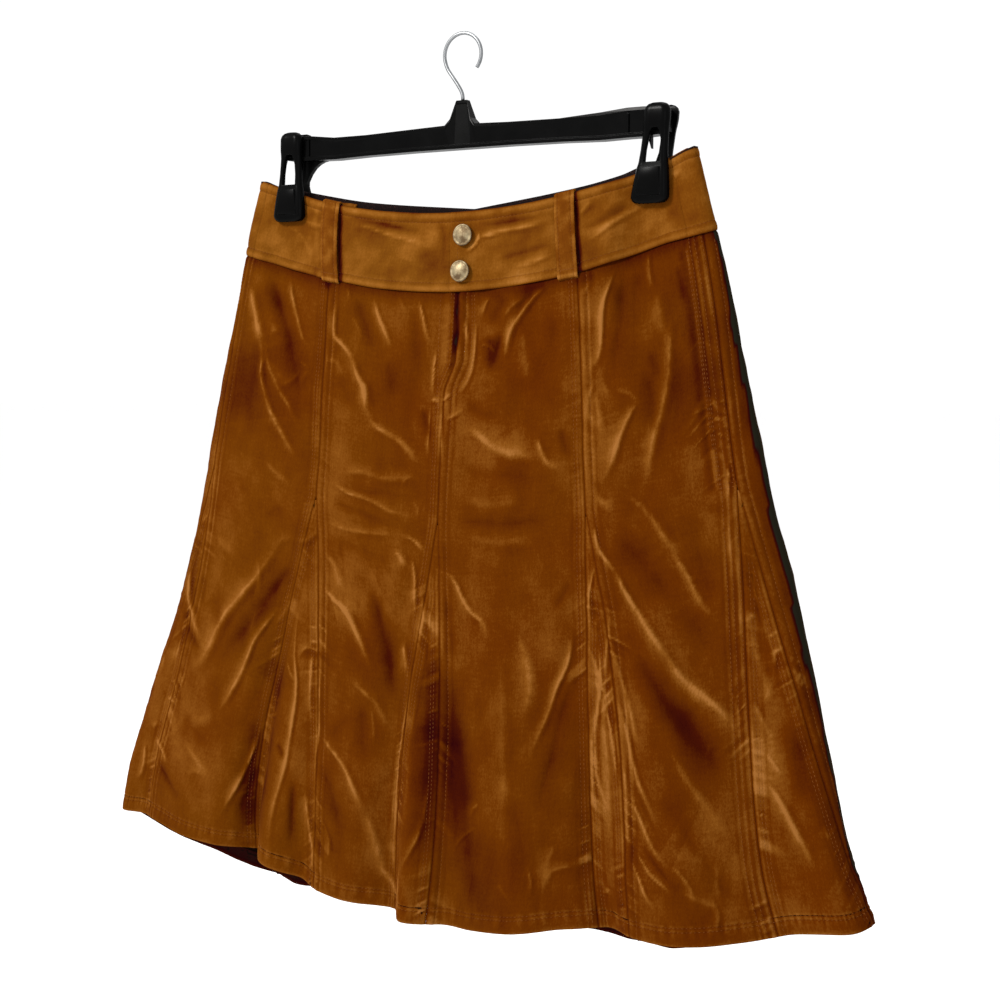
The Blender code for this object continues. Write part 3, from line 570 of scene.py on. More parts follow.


# Height and tone that a list of creases gives at these points of the plain surface; the tone is painted
# highlight and painted shade.
def creaseField(points, creases):
    height, tone = np.zeros(len(points)), np.zeros(len(points))
    for index, crease in enumerate(creases):
        half = crease.width * creaseForm["half"]
        line, run = creaseLine(crease.path, max(0.7, crease.width / 6))
        wander = min(creaseForm["wander"], crease.width / 8) * smooth(run / 6.0)
        line[:, 0] += wander * np.sin(run / 10.0 + index)
        line[:, 2] += wander * 0.8 * np.sin(run / 7.3 + index * 1.3)
        reach = creaseForm["ridgeReach" if crease.tone > 0 else "troughReach"] * half
        near = np.flatnonzero(((points > line.min(0) - reach) & (points < line.max(0) + reach)).all(1))
        if not near.size:
            continue
        spots = points[near]
        squared = (spots ** 2).sum(1)[:, None] - 2 * spots @ line.T + (line ** 2).sum(1)[None, :]
        nearest = squared.argmin(1)
        gap = spots - line[nearest]
        away, along = np.linalg.norm(gap, axis=1), run[nearest]
        kept = away < reach
        near, gap, away, along = near[kept], gap[kept], away[kept], along[kept]
        grown = smooth(along / (creaseForm["grows"] * run[-1]))
        taper = grown * smooth((run[-1] - along) / (creaseForm["fades"] * run[-1]))
        uneven = 1.0 + 0.20 * np.sin(along / 19.0 + index * 1.7) + 0.16 * np.sin(along / 6.1 + index * 2.3)
        spread = 0.66 + 0.72 * along / run[-1] if crease.tone > 0 else 1.0
        part = away / (half * spread)
        lit = gap @ creaseForm["litFrom"] / np.maximum(away, 0.01)
        crest, body = bump(part, 0, creaseForm["crest"]), bump(part, 0, creaseForm["body"])
        rise = creaseForm["crestShare"] * crest + creaseForm["bodyShare"] * body
        height[near] += crease.height * taper * uneven * rise
        if crease.tone > 0:
            # a ridge's painted highlight glows softly on its lit side and ends sharply, with a painted
            # shadow, on the other
            reachOfGlow = 0.60 + 1.45 * np.clip(lit, 0, 1)
            edge = np.clip(1 - (away / reach) ** 2, 0, 1)
            broken = 1.0 + 0.30 * ripples(points[near], 11, index, count=6)
            shade = 0.50 * bump(part, 0, 0.48) * broken
            shade += creaseForm["glow"] * bump(part, 0, reachOfGlow)
            shade += creaseForm["halo"] * np.clip(lit + 0.4, 0, 1) * bump(part, 0, 2.6) * edge
            shade -= creaseForm["shadow"] * np.clip(-lit, 0, 1) * bump(part, 1.2, 0.75)
        else:
            # a trough gets painted shade
            shade = creaseForm["troughCrest"] * crest
            shade += creaseForm["troughShade"] * bump(part, 0, 1.60)
        tone[near] += crease.tone * taper * uneven * shade
    return height, tone


# Smooth seeded unevenness, about -1.5 to 1.5, with features of this size in millimetres.
def ripples(points, size, seed, stretch=(1, 1, 1), count=11):
    pick = np.random.default_rng(seed)
    waves = pick.normal(size=(count, 3))
    waves /= np.linalg.norm(waves, axis=1)[:, None]
    waves *= (2 * pi / size) * pick.uniform(0.6, 1.5, (count, 1)) * np.array(stretch)
    return np.sin(points @ waves.T + pick.uniform(0, 2 * pi, count)).sum(1) * (2.0 / count) ** 0.5


Panel = namedtuple("Panel", "shares angles arcs points normals")
edgeStops = np.array([0, 0.5, 1.1, 2.0, 3.4, 5.2, 6.7, 7.5, 8.3, 9.6, 11.5])      # beside each seam
seamForm = {
    "grooveFirst": 0.06,       # depth of the join at a panel's first and last edge
    "grooveLast": 0.20,
    "pad": 0.45,               # rise of the padded allowance
    "allowance": 0.30,
    "allowanceEnds": 8.4,
    "stitchPull": 0.30,
    "crinkleRise": 0.60,
    # crinkleTone: painted highlight and painted shade on the stitches' crinkles
    "crinkleTone": 0.80,
    "ridgeLight": 0.42,            # painted highlight on the seam's raised ridges
    # painted shade in the groove of the join
    "joinDark": 0.55,
}
hem = {
    "rows": (10.0, 13.0),
    "stops": (0, 0.7, 1.8, 3.6, 5.8, 8.0, 9.2, 10.0, 10.8, 12.2, 13.0, 13.8, 15.4, 17.8),
    "turnIn": (0.25, 0.75, 1.2, 1.35, 1.35, 1.35, 1.35, 1.35),
    "turnUp": (-0.35, -0.5, -0.35, 0.8, 3.0, 6.0, 9.5, 13.5),
    # painted shade inside the turned hem, per row turned in
    "innerDark": 0.78,
    "perDegree": 5.3,          # millimetres of hem to a degree, about
}


# Angles of a panel's grid, row by row, and each column's distance from the panel's first edge.
def panelPlan(first, last, shares, step):
    begin, end = first(shares), last(shares)
    fine = begin[:, None] + (end - begin)[:, None] * np.linspace(0, 1, 65)
    laid = clothPoint(fine.ravel(), np.repeat(shares, 65)).reshape(len(shares), 65, 3)
    arcs = np.cumsum(np.linalg.norm(np.diff(laid, axis=1), axis=2), axis=1)
    arcs = np.concatenate([np.zeros((len(shares), 1)), arcs], 1)
    width = np.maximum(arcs[:, -1] - cut["seamGap"], 0.4)
    scale = np.minimum(1.0, width / 26.0)[:, None]
    left = edgeStops * scale
    right = width[:, None] - left[:, ::-1]
    count = max(2, int(round((width.max() - 2 * edgeStops[-1]) / step)))
    middle = left[:, -1:] + (right[:, :1] - left[:, -1:]) * np.linspace(0, 1, count + 1)[1:-1]
    stops = np.concatenate([left, middle, right], 1)
    angles = np.stack([np.interp(stop + cut["seamGap"] / 2, arc, row)
                       for stop, arc, row in zip(stops, arcs, fine)])
    return angles, stops, width


# Close a bmesh and keep it as a mesh.
def meshOf(bm, name):
    mesh = bpy.data.meshes.new(name)
    bm.to_mesh(mesh)
    bm.free()
    return mesh


gridApart = 4.0      # height between a mesh's grids until their points are placed


# One mesh of several grids; each has rows of points in millimetres, cloth coordinates, tone and material.
def gridMesh(name, *layers):
    bm = bmesh.new()
    for index, layer in enumerate(layers):
        rows, columns = layer[0].shape[:2]
        shift = Matrix.Translation((0, 0, gridApart * index))
        bmesh.ops.create_grid(bm, x_segments=columns - 1, y_segments=rows - 1, size=0.5, matrix=shift)
    mesh = meshOf(bm, name)
    flat = np.empty(len(mesh.vertices) * 3)
    mesh.vertices.foreach_get("co", flat)
    flat = flat.reshape(-1, 3)
    placed, tones = np.empty_like(flat), np.empty(len(flat), np.float32)
    cloths = np.empty((len(flat), 2), np.float32)
    kind = np.rint(flat[:, 2] / gridApart).astype(int)
    for index, layer in enumerate(layers):
        points, uv, tone = layer[:3]
        mine = np.flatnonzero(kind == index)
        rows, columns = points.shape[:2]
        column = np.rint((flat[mine, 0] + 0.5) * (columns - 1)).astype(int)
        row = np.rint((0.5 - flat[mine, 1]) * (rows - 1)).astype(int)
        placed[mine] = points[row, column] * mm
        tones[mine] = tone[row, column]
        cloths[mine] = uv[row, column] * mm
    mesh.vertices.foreach_set("co", placed.ravel())
    mesh.attributes.new("tone", "FLOAT", "POINT").data.foreach_set("value", tones)
    corner = np.empty(len(mesh.loops), dtype=np.int32)
    mesh.loops.foreach_get("vertex_index", corner)
    mesh.uv_layers.new(name="cloth").data.foreach_set("uv", cloths[corner].ravel())
    first = np.empty(len(mesh.polygons), dtype=np.int32)
    mesh.polygons.foreach_get("loop_start", first)
    stuffs = np.array([layer[3] for layer in layers], dtype=np.int32)
    mesh.polygons.foreach_set("material_index", stuffs[kind[corner[first]]])
    mesh.update()
    return mesh


# A coarser grid behind a cloth's face, turned to look inwards, and set back where the face dips.
def reverseLayer(points, normals, uv, thickness, skip):
    dips = np.zeros(points.shape[:2])
    for down, across in np.ndindex(2 * skip + 1, 2 * skip + 1):
        row = np.clip(np.arange(points.shape[0]) + down - skip, 0, points.shape[0] - 1)
        column = np.clip(np.arange(points.shape[1]) + across - skip, 0, points.shape[1] - 1)
        dips = np.maximum(dips, ((points - points[np.ix_(row, column)]) * normals).sum(2))
    dips = np.clip(dips - cut["dipsFrom"], 0, cut["dipsMost"])
    dips[[0, -1]] = 0
    dips[:, [0, -1]] = 0
    rows = np.unique(np.append(np.arange(0, points.shape[0], skip), points.shape[0] - 1))
    columns = np.unique(np.append(np.arange(0, points.shape[1], skip), points.shape[1] - 1))
    picked = np.ix_(rows, columns[::-1])
    behind = points[picked] - normals[picked] * (thickness + dips[picked][:, :, None])
    return behind, uv[picked], np.zeros(behind.shape[:2]), 1


# Carry the side edges of a face grid round to the back of the cloth, with painted shade on these rims.
def rimmed(points, normals, uv, tone, thickness):
    before = points[:, :1] - normals[:, :1] * thickness
    after = points[:, -1:] - normals[:, -1:] * thickness
    return (np.concatenate([before, points, after], 1), np.concatenate([uv[:, :1], uv, uv[:, -1:]], 1),
            np.concatenate([tone[:, :1] - 0.2, tone, tone[:, -1:] - 0.2], 1), 0)


def gridNormals(points):
    across = np.gradient(points, axis=1)
    down = np.gradient(points, axis=0)
    normal = np.cross(down, across)
    return normal / np.maximum(np.linalg.norm(normal, axis=2), 1e-9)[:, :, None]


# Points and normals of a finished panel at these angles and shares.
def locate(panel, angles, shares):
    order = np.argsort(panel.shares)
    ranked = panel.shares[order]
    found, facing = [], []
    for angle, share in zip(angles, shares):
        high = int(np.clip(np.searchsorted(ranked, share), 1, len(ranked) - 1))
        part = (share - ranked[high - 1]) / max(ranked[high] - ranked[high - 1], 1e-9)
        pair = []
        for row in (order[high - 1], order[high]):
            spot = np.interp(angle, panel.angles[row], np.arange(panel.angles.shape[1]))
            low = min(int(spot), panel.angles.shape[1] - 2)
            pair.append((row, low, spot - low))
        for source, kept in ((panel.points, found), (panel.normals, facing)):
            ends = [source[row, low] * (1 - f) + source[row, low + 1] * f for row, low, f in pair]
            kept.append(ends[0] * (1 - part) + ends[1] * part)
    return np.array(found), np.array(facing)


# A line down a panel at a fixed distance from one of its edges.
def edgeRun(panel, offset, fromLast, top, foot):
    keep = np.flatnonzero((panel.shares >= top) & (panel.shares <= foot))
    spots, facing = [], []
    for row in keep:
        arcs = panel.arcs[row]
        if arcs[-1] < offset * 2.4:
            continue
        at = arcs[-1] - offset if fromLast else offset
        spot = np.interp(at, arcs, np.arange(len(arcs)))
        low = min(int(spot), len(arcs) - 2)
        part = spot - low
        spots.append(panel.points[row, low] * (1 - part) + panel.points[row, low + 1] * part)
        facing.append(panel.normals[row, low])
    return np.array(spots), np.array(facing)


# Short oblique ridges that the stitches draw in the cloth beside a seam, in clusters, 0 to 1.
def crinkle(away, down, seed, share):
    slant = -(0.20 + 0.10 * np.sin(seed * 5.0 + down / 60.0)) * away
    wave = np.sin(down / 2.9 + seed * 7 + slant) + np.sin(down / 4.3 + seed * 3 + slant * 0.6)
    wave = wave + np.sin(down / 7.7 + seed + slant * 0.3)
    cluster = 0.30 + 0.6 * np.sin(down / 26.0 + seed * 3) + 0.45 * np.sin(down / 11.0 + seed)
    cluster = np.clip(cluster, 0, 1)
    growth = 0.25 + 0.75 * smooth((share - 0.45) / 0.2)
    spread = np.clip(np.sin(down / 8.3 + seed * 4) + 0.4 * np.sin(down / 3.1 + seed), 0, 1)
    reach = 3.6 + (4.0 + 4.0 * growth) * spread
    drawn = bump(wave, 0.4, 0.38) - 0.5 * bump(wave, -0.8, 0.5)
    return drawn * cluster * growth * bump(away, 5.5, reach)


# Height beside a seam: a groove at the join, a padded allowance and the pull of its stitches.
def seamShape(away, down, rows, seed, share, sunk):
    wander = np.sin(down / 31.0 + seed) * 0.35
    shape = -sunk * bump(away, 0, 0.8) + seamForm["pad"] * bump(away, 3.6, 2.4)
    shape += seamForm["allowance"] * (1 - smooth((away - seamForm["allowanceEnds"] - wander) / 2.2))
    for row in rows:
        shape -= seamForm["stitchPull"] * bump(away, row, 0.75)
    return shape + seamForm["crinkleRise"] * crinkle(away, down, seed, share)


# Painted highlight on the seam's raised ridges and crinkles, painted shade in its grooves and at the join.
def seamTone(away, down, rows, seed, share):
    ridgeHighlight = 0.75 + 0.35 * np.sin(down / 17.0 + seed) + 0.25 * np.sin(down / 6.1 + seed * 2)
    ridgeHighlight = ridgeHighlight * np.clip(0.62 + 0.5 * np.sin(down / 43.0 + seed * 4.0), 0.2, 1.0)
    row = 0.5 * np.sin(down / 37.0 + seed * 3)
    ridgeHighlight = ridgeHighlight * seamForm["ridgeLight"]
    tone = ridgeHighlight * bump(away, 2.4, 1.3) - seamForm["joinDark"] * bump(away, 0, 1.0)
    for place in rows:
        tone += ridgeHighlight * bump(away - place - 0.9, row, 1.0)
        tone -= 0.24 * bump(away - place + 1.3, row, 1.0)
        tone -= 0.20 * bump(away - place - 3.4, row, 1.3)
    return tone + seamForm["crinkleTone"] * crinkle(away, down, seed, share)


# Small pulls that the hem's stitches make, along the hem.
def hemPuckers(run):
    short = np.sin(run / 1.3 + 1.8 * np.sin(run / 19.0))
    return short + 0.7 * np.sin(run / 2.3 + 1.1 * np.sin(run / 27.0))


# Height over the turned hem, given the distance above its edge and the distance round it.
def hemShape(above, run):
    shape = 0.4 * bump(above, 5.0, 4.2)
    for row in hem["rows"]:
        shape -= 0.4 * bump(above, row, 0.8)
    return shape + 0.24 * hemPuckers(run) * bump(above, 11.0, 6.0)


# The finished middle surface of a gore or godet, with its turned hem below.
def panelSurface(first, last, look, creases):
    top, length = look["top"], cut["length"]
    underBand = top < cut["bandShare"]
    below = np.array(hem["stops"]) / length
    body = np.arange(1.0 - below[-1] - look["step"] / length, top + 0.006, -look["step"] / length)
    shares = np.concatenate([[top, top + 0.003], np.sort(body), 1.0 - below[::-1]])
    angles, arcs, width = panelPlan(first, last, shares, look["step"])
    count = angles.shape[1]
    flatAngles, flatShares = angles.ravel(), np.repeat(shares, count)
    plain = clothPoint(flatAngles, flatShares)
    normal = clothNormal(flatAngles, flatShares)
    height, tone = creaseField(plain, creases)
    fromFirst = arcs.ravel()
    fromLast = np.repeat(width, count) - fromFirst
    down = flatShares * length
    # narrow tops of godets carry less of each seam's padding
    room = np.minimum(1.0, np.repeat(width, count) / 16.0)
    for away, side in ((fromFirst, "First"), (fromLast, "Last")):
        rows, seed, sunk = look["rows" + side], look["seed"] + len(side), seamForm["groove" + side]
        height = height + room * seamShape(away, down, rows, seed, flatShares, sunk)
        tone = tone + room * seamTone(away, down, rows, seed, flatShares)
    above = (1.0 - flatShares) * length
    run = flatAngles * hem["perDegree"]
    height += hemShape(above, run)
    # painted highlight beside the hem's stitch rows and on its folded edge, painted shade in the rows,
    # painted highlight and shade on the puckers
    for row in hem["rows"]:
        tone += 0.30 * bump(above - row, 1.1, 0.9) - 0.25 * bump(above, row, 0.6)
    tone += 0.35 * bump(above, 0, 1.5) + 0.17 * hemPuckers(run) * bump(above, 10.5, 4.5)
    height += 0.42 * ripples(plain, 62, 3, (1, 1, 0.6)) + 0.16 * ripples(plain, 22, 5, (1, 1, 0.7))
    height += 0.05 * ripples(plain, 8, 7)
    tone += 0.09 * ripples(plain, 70, 11, (1, 1, 0.5)) + 0.05 * ripples(plain, 20, 13, (1, 1, 0.5))
    # painted shadow of the waistband on the cloth just below it
    if underBand:
        tone -= 0.75 * bump(np.clip((flatShares - bandFoot(flatAngles)) * length, 0, None), 0, 8.0)
    else:
        tone = tone * 1.15 + 0.08
    for extra in look["extras"]:
        height, tone = extra(height, tone, flatAngles, flatShares, fromFirst, fromLast)
    # the cloth runs up under the waistband, and lies flat against it there
    clear = np.ones_like(down)
    if underBand:
        clear = smooth((flatShares - bandFoot(flatAngles) + 0.004) / 0.010)
    height = height * (0.25 + 0.75 * clear) - 1.9 * (1 - clear)
    points = (plain + normal * (height + cut["face"])[:, None]).reshape(len(shares), count, 3)
    toned = tone.reshape(len(shares), count)
    uv = np.stack([arcs, np.repeat(shares[:, None] * -length, count, 1)], 2)
    return Panel(shares, angles, arcs, points, gridNormals(points)), toned, uv


# Share at which the waistband ends; it rises a little towards the front of the right clip.
def bandFoot(angle):
    return cut["bandShare"] - 0.011 * bump(wrapped(angle - 50.0), 0, 17.0)


# Rows that carry the cloth round its lower edge and up inside as a turned hem.
def turnedHem(panel, toned, uv):
    inward, lift = hem["turnIn"], hem["turnUp"]
    above = (panel.points[-1] - panel.points)[:, :, 2] * -1.0
    rows = []
    for back, up in zip(inward, lift):
        if up <= 0:
            rows.append(panel.points[-1] - panel.normals[-4] * back + np.array([0, 0, up]))
            continue
        level = int((above[:, above.shape[1] // 2] > up).sum()) - 1
        rows.append(panel.points[level] - panel.normals[level] * back)
    points = np.concatenate([panel.points, np.array(rows)])
    # the turned rows inside get painted shade, darker the further in they lie
    inner = np.clip(np.arange(len(rows)) - 0.5, 0, 3)[:, None] * -hem["innerDark"]
    tones = np.concatenate([toned, np.repeat(toned[-1:] * 0.3, len(rows), 0) + inner])
    drop = np.array([max(0.0, up) + back for back, up in zip(inward, lift)])
    extra = np.stack([np.repeat(uv[-1:, :, 0], len(rows), 0), uv[-1:, :, 1] - drop[:, None]], 2)
    return points, tones, np.concatenate([uv, extra])


# Stitches are small spindles of thread laid along a line.
thread = {
    "pitch": 3.3,
    "length": 2.5,
    "radius": 0.21,
    "sink": 0.07,
}


# Places of the stitches along one line: middle, direction and outward direction of each.
def stitchForms(spots, facing, pitch=None):
    if len(spots) < 3:
        return []
    run = np.concatenate([[0], np.cumsum(np.linalg.norm(np.diff(spots, axis=0), axis=1))])
    step = pitch or thread["pitch"]
    marks = np.arange(step * 0.5, run[-1], step)
    middle = np.stack([np.interp(marks, run, spots[:, axis]) for axis in range(3)], 1)
    after = np.stack([np.interp(marks + 1.0, run, spots[:, axis]) for axis in range(3)], 1)
    before = np.stack([np.interp(marks - 1.0, run, spots[:, axis]) for axis in range(3)], 1)
    outward = np.stack([np.interp(marks, run, facing[:, axis]) for axis in range(3)], 1)
    return [(m, a - b, o) for m, a, b, o in zip(middle, after, before, outward)]


# All the stitches of one panel, each a small icosphere drawn out along its line.
def stitchMesh(name, forms, half):
    bm = bmesh.new()
    bmesh.ops.create_icosphere(bm, subdivisions=1, radius=1.0)
    ball = np.array([vert.co[:] for vert in bm.verts])
    faces = np.array([[vert.index for vert in face.verts] for face in bm.faces])
    bm.free()
    verts, polys = [], []
    for index, (middle, along, outward) in enumerate(forms):
        along = along / max(np.linalg.norm(along), 1e-6)
        side = np.cross(along, outward)
        side /= max(np.linalg.norm(side), 1e-6)
        outward = np.cross(side, along)
        base = middle + outward * (half - thread["sink"])
        shape = ball * np.array([thread["length"] / 2, thread["radius"], thread["radius"]])
        verts.append(base + shape[:, :1] * along + shape[:, 1:2] * side + shape[:, 2:] * outward)
        polys.append(faces + index * len(ball))
    mesh = bpy.data.meshes.new(name)
    mesh.from_pydata((np.concatenate(verts) * mm).tolist(), [], np.concatenate(polys).tolist())
    mesh.update()
    return mesh


def linear(red, green, blue):
    parts = [value / 255 for value in (red, green, blue)]
    return (*(((part + 0.055) / 1.055) ** 2.4 if part > 0.04 else part / 12.92 for part in parts), 1.0)


# A socket that can be reckoned with; each sum adds a node to its tree.
class Wire:
    def __init__(self, tree, socket):
        self.tree, self.socket = tree, socket

    def maths(self, operation, *others, clamp=False):
        settings = {"operation": operation, "use_clamp": clamp}
        return makeNode(self.tree, "ShaderNodeMath", settings, self, *others)

    def __add__(self, other):
        return self.maths("ADD", other)

    def __radd__(self, other):
        return self.maths("ADD", other)

    def __sub__(self, other):
        return self.maths("SUBTRACT", other)

    def __rsub__(self, other):
        return makeNode(self.tree, "ShaderNodeMath", {"operation": "SUBTRACT"}, other, self)

    def __mul__(self, other):
        return self.maths("MULTIPLY", other)

    def __rmul__(self, other):
        return self.maths("MULTIPLY", other)

    def clamped(self):
        return self.maths("ADD", 0.0, clamp=True)


# Add a node, set it, feed its inputs in order or by name, and return one of its outputs.
def makeNode(tree, kind, settings, *inputs, out=0, **named):
    node = tree.nodes.new(kind)
    for key, value in settings.items():
        setattr(node, key, value)
    pairs = list(enumerate(inputs)) + [(key.replace("_", " "), value) for key, value in named.items()]
    for key, value in pairs:
        if isinstance(value, Wire):
            tree.links.new(value.socket, node.inputs[key])
        elif value is not None:
            node.inputs[key].default_value = value
    return Wire(tree, node.outputs[out])


# Blend two colours.
def mixed(tree, factor, first, second):
    node = tree.nodes.new("ShaderNodeMix")
    node.data_type = "RGBA"
    for index, value in ((0, factor), (6, first), (7, second)):
        if isinstance(value, Wire):
            tree.links.new(value.socket, node.inputs[index])
        else:
            node.inputs[index].default_value = value
    return Wire(tree, node.outputs[2])


def stretched(tree, source, factors):
    return makeNode(tree, "ShaderNodeVectorMath", {"operation": "MULTIPLY"}, source, factors)


def noise(tree, place, scale, detail=2.0, rough=0.5):
    return makeNode(tree, "ShaderNodeTexNoise", {}, Vector=place, Scale=scale, Detail=detail,
                    Roughness=rough)


def blankMaterial(name, settings):
    made = bpy.data.materials.new(name)
    made.use_nodes = True
    shader = made.node_tree.nodes["Principled BSDF"]
    for key, value in settings.items():
        shader.inputs[key].default_value = value
    return made, made.node_tree, shader


def bumped(tree, shader, height, distance, strength):
    normal = makeNode(tree, "ShaderNodeBump", {}, Strength=strength, Distance=distance, Height=height)
    tree.links.new(normal.socket, shader.inputs["Normal"])


# Cotton velveteen: painted highlight and painted shade from the cloth's tone, painted light turning it
# golden towards its lit left side, and a short streaky pile.
def velvetMaterial(name, look):
    settings = {
        "Sheen Weight": look["sheen"],
        "Sheen Roughness": 0.34,
        "Sheen Tint": linear(*look["sheenColour"]),
        "Specular IOR Level": 0.01,
        "Roughness": 0.92,
    }
    made, tree, shader = blankMaterial(name, settings)
    space = makeNode(tree, "ShaderNodeTexCoord", {}, out=3)
    cloth = makeNode(tree, "ShaderNodeUVMap", {"uv_map": "cloth"})
    tone = makeNode(tree, "ShaderNodeAttribute", {"attribute_name": "tone"}, out=2)
    patches = noise(tree, space, 14.0, 2.0, 0.55)
    mottle = noise(tree, stretched(tree, space, (1.0, 1.0, 0.62)), 62.0, 3.0, 0.6)
    streaks = noise(tree, stretched(tree, cloth, (1.0, 0.22, 1.0)), 420.0, 3.0, 0.62)
    weft = noise(tree, stretched(tree, cloth, (0.25, 1.0, 1.0)), 330.0, 2.0, 0.6)
    grain = noise(tree, stretched(tree, cloth, (1.0, 0.55, 1.0)), 900.0, 2.0, 0.7)
    across = makeNode(tree, "ShaderNodeSeparateXYZ", {}, space)
    drift = noise(tree, space, 8.0, 2.0, 0.6)
    # painted light: golden towards the left, the side the key light comes from, with a random drift
    litGold = (0.44 - across * 1.25 + (drift - 0.5) * 2.0).clamped()
    middle = mixed(tree, litGold, linear(*look["mid"]), linear(*look["litGold"]))
    paintedLightAndPile = tone + (patches - 0.5) * look["patches"] + (mottle - 0.5) * look["mottle"]
    paintedLightAndPile = paintedLightAndPile + (streaks - 0.5) * look["streaks"] + (grain - 0.5) * look["grain"]
    paintedLightAndPile = paintedLightAndPile + (weft - 0.5) * look["weft"]
    # the tone with its random mottling runs from painted deep shade through the cloth's colour to painted
    # highlight
    colour = mixed(tree, (paintedLightAndPile + 1.0).clamped(), linear(*look["dark"]), middle)
    colour = mixed(tree, (paintedLightAndPile * 2.0).clamped(), colour, linear(*look["glow"]))
    colour = mixed(tree, (paintedLightAndPile * 2.0 - 1.0).clamped(), colour, linear(*look["light"]))
    colour = mixed(tree, (-1.0 - paintedLightAndPile).clamped(), colour, linear(*look["deep"]))
    colour = mixed(tree, (-2.0 - paintedLightAndPile).clamped(), colour, linear(*look["edge"]))
    tree.links.new(colour.socket, shader.inputs["Base Color"])
    pile = streaks * 0.55 + grain * 0.45
    bumped(tree, shader, pile, 0.00042, 0.55)
    return made


# The plain woven back of the cloth, near black as painted shade for the skirt's hollow inside.
def reverseMaterial(name, colour):
    made, tree, shader = blankMaterial(name, {"Specular IOR Level": 0.02, "Roughness": 0.95})
    space = makeNode(tree, "ShaderNodeTexCoord", {}, out=3)
    weave = noise(tree, space, 900.0, 2.0, 0.6)
    patch = noise(tree, space, 30.0, 2.0, 0.5)
    shade = (patch * 0.8 + weave * 0.6 - 0.2).clamped()
    darker = tuple(value * 0.5 for value in linear(*colour)[:3]) + (1.0,)
    tree.links.new(mixed(tree, shade, darker, linear(*colour)).socket, shader.inputs["Base Color"])
    bumped(tree, shader, weave, 0.0002, 0.4)
    return made


# A dark woven facing with small pale flecks of lint.
def speckledMaterial(name, colour, speck):
    made, tree, shader = blankMaterial(name, {"Specular IOR Level": 0.1, "Roughness": 0.95})
    space = makeNode(tree, "ShaderNodeTexCoord", {}, out=3)
    weave = noise(tree, space, 1100.0, 2.0, 0.7)
    flecks = ((weave - 0.60) * 6.0).clamped()
    blend = mixed(tree, flecks, linear(*colour), linear(*speck))
    tree.links.new(blend.socket, shader.inputs["Base Color"])
    bumped(tree, shader, weave, 0.0003, 0.5)
    return made


def threadMaterial(name, colour, darker):
    made, tree, shader = blankMaterial(name, {"Specular IOR Level": 0.08, "Roughness": 0.7})
    space = makeNode(tree, "ShaderNodeTexCoord", {}, out=3)
    shade = noise(tree, space, 160.0, 2.0, 0.6)
    factor = ((shade - 0.35) * 2.5).clamped()
    blend = mixed(tree, factor, linear(*darker), linear(*colour))
    tree.links.new(blend.socket, shader.inputs["Base Color"])
    return made


# Moulded black plastic with a faint satin unevenness.
def plasticMaterial(name, colour, rough):
    made, tree, shader = blankMaterial(name, {"Specular IOR Level": 0.03})
    space = makeNode(tree, "ShaderNodeTexCoord", {}, out=3)
    haze = noise(tree, space, 48.0, 3.0, 0.6)
    fine = noise(tree, space, 2200.0, 1.0, 0.5)
    tree.links.new((haze * 0.12 + (rough - 0.06)).socket, shader.inputs["Roughness"])
    shade = mixed(tree, haze, linear(*colour), linear(*[value + 4 for value in colour]))
    tree.links.new(shade.socket, shader.inputs["Base Color"])
    bumped(tree, shader, fine, 0.00004, 0.25)
    return made


# Metal, a little tarnished in patches.
def metalMaterial(name, light, dark, rough, scale):
    made, tree, shader = blankMaterial(name, {"Metallic": 1.0})
    space = makeNode(tree, "ShaderNodeTexCoord", {}, out=3)
    tarnish = noise(tree, space, scale, 3.0, 0.6)
    factor = ((tarnish - 0.36) * 3.2).clamped()
    tree.links.new(mixed(tree, factor, linear(*dark), linear(*light)).socket, shader.inputs["Base Color"])
    tree.links.new((rough + 0.18 - factor * 0.16).socket, shader.inputs["Roughness"])
    return made


velvetLook = {
    # Tone ramp: edge is painted deep shade for the strip at the right end, deep and dark are painted shade
    # in troughs, glow and light are painted highlight on ridges, and the golden colour is painted light on
    # the lit left side.
    "edge": (23, 22, 15),
    "deep": (30, 1, 3),
    "dark": (48, 10, 1),
    "mid": (72, 30, 0),
    "litGold": (77, 38, 1),
    "glow": (95, 54, 12),
    "light": (117, 74, 32),
    "sheenColour": (255, 150, 40),
    "sheen": 0.07,
    "patches": 0.22,
    "mottle": 0.42,
    "streaks": 0.46,
    "weft": 0.30,
    "grain": 0.75,
}
godetLook = dict(velvetLook, mid=(74, 31, 0))
bandLook = dict(velvetLook, dark=(56, 16, 2), mid=(86, 46, 5), litGold=(88, 51, 8), light=(124, 80, 34),
                glow=(106, 64, 18), mottle=0.5)
loopLook = dict(bandLook, mid=(83, 42, 4), litGold=(84, 45, 6))

velvet = velvetMaterial("velveteen", velvetLook)
godetVelvet = velvetMaterial("godet_velveteen", godetLook)
bandVelvet = velvetMaterial("band_velveteen", bandLook)
loopVelvet = velvetMaterial("loop_velveteen", loopLook)
# the back of the cloth gets a near-black colour: painted shade for the inside of the skirt, band and loops
reverse = reverseMaterial("velveteen_reverse", (17, 5, 3))
facingCloth = speckledMaterial("dark_facing_cloth", (12, 4, 4), (70, 36, 30))
threadStuff = threadMaterial("stitching", (114, 68, 26), (86, 44, 10))
plastic = plasticMaterial("satin_black_plastic", (2, 2, 2), 0.24)
buttonMetal = metalMaterial("antique_button", (146, 132, 104), (96, 78, 56), 0.54, 170.0)
wireMetal = metalMaterial("hook_wire", (140, 142, 144), (116, 118, 120), 0.24, 60.0)
print("materials made")


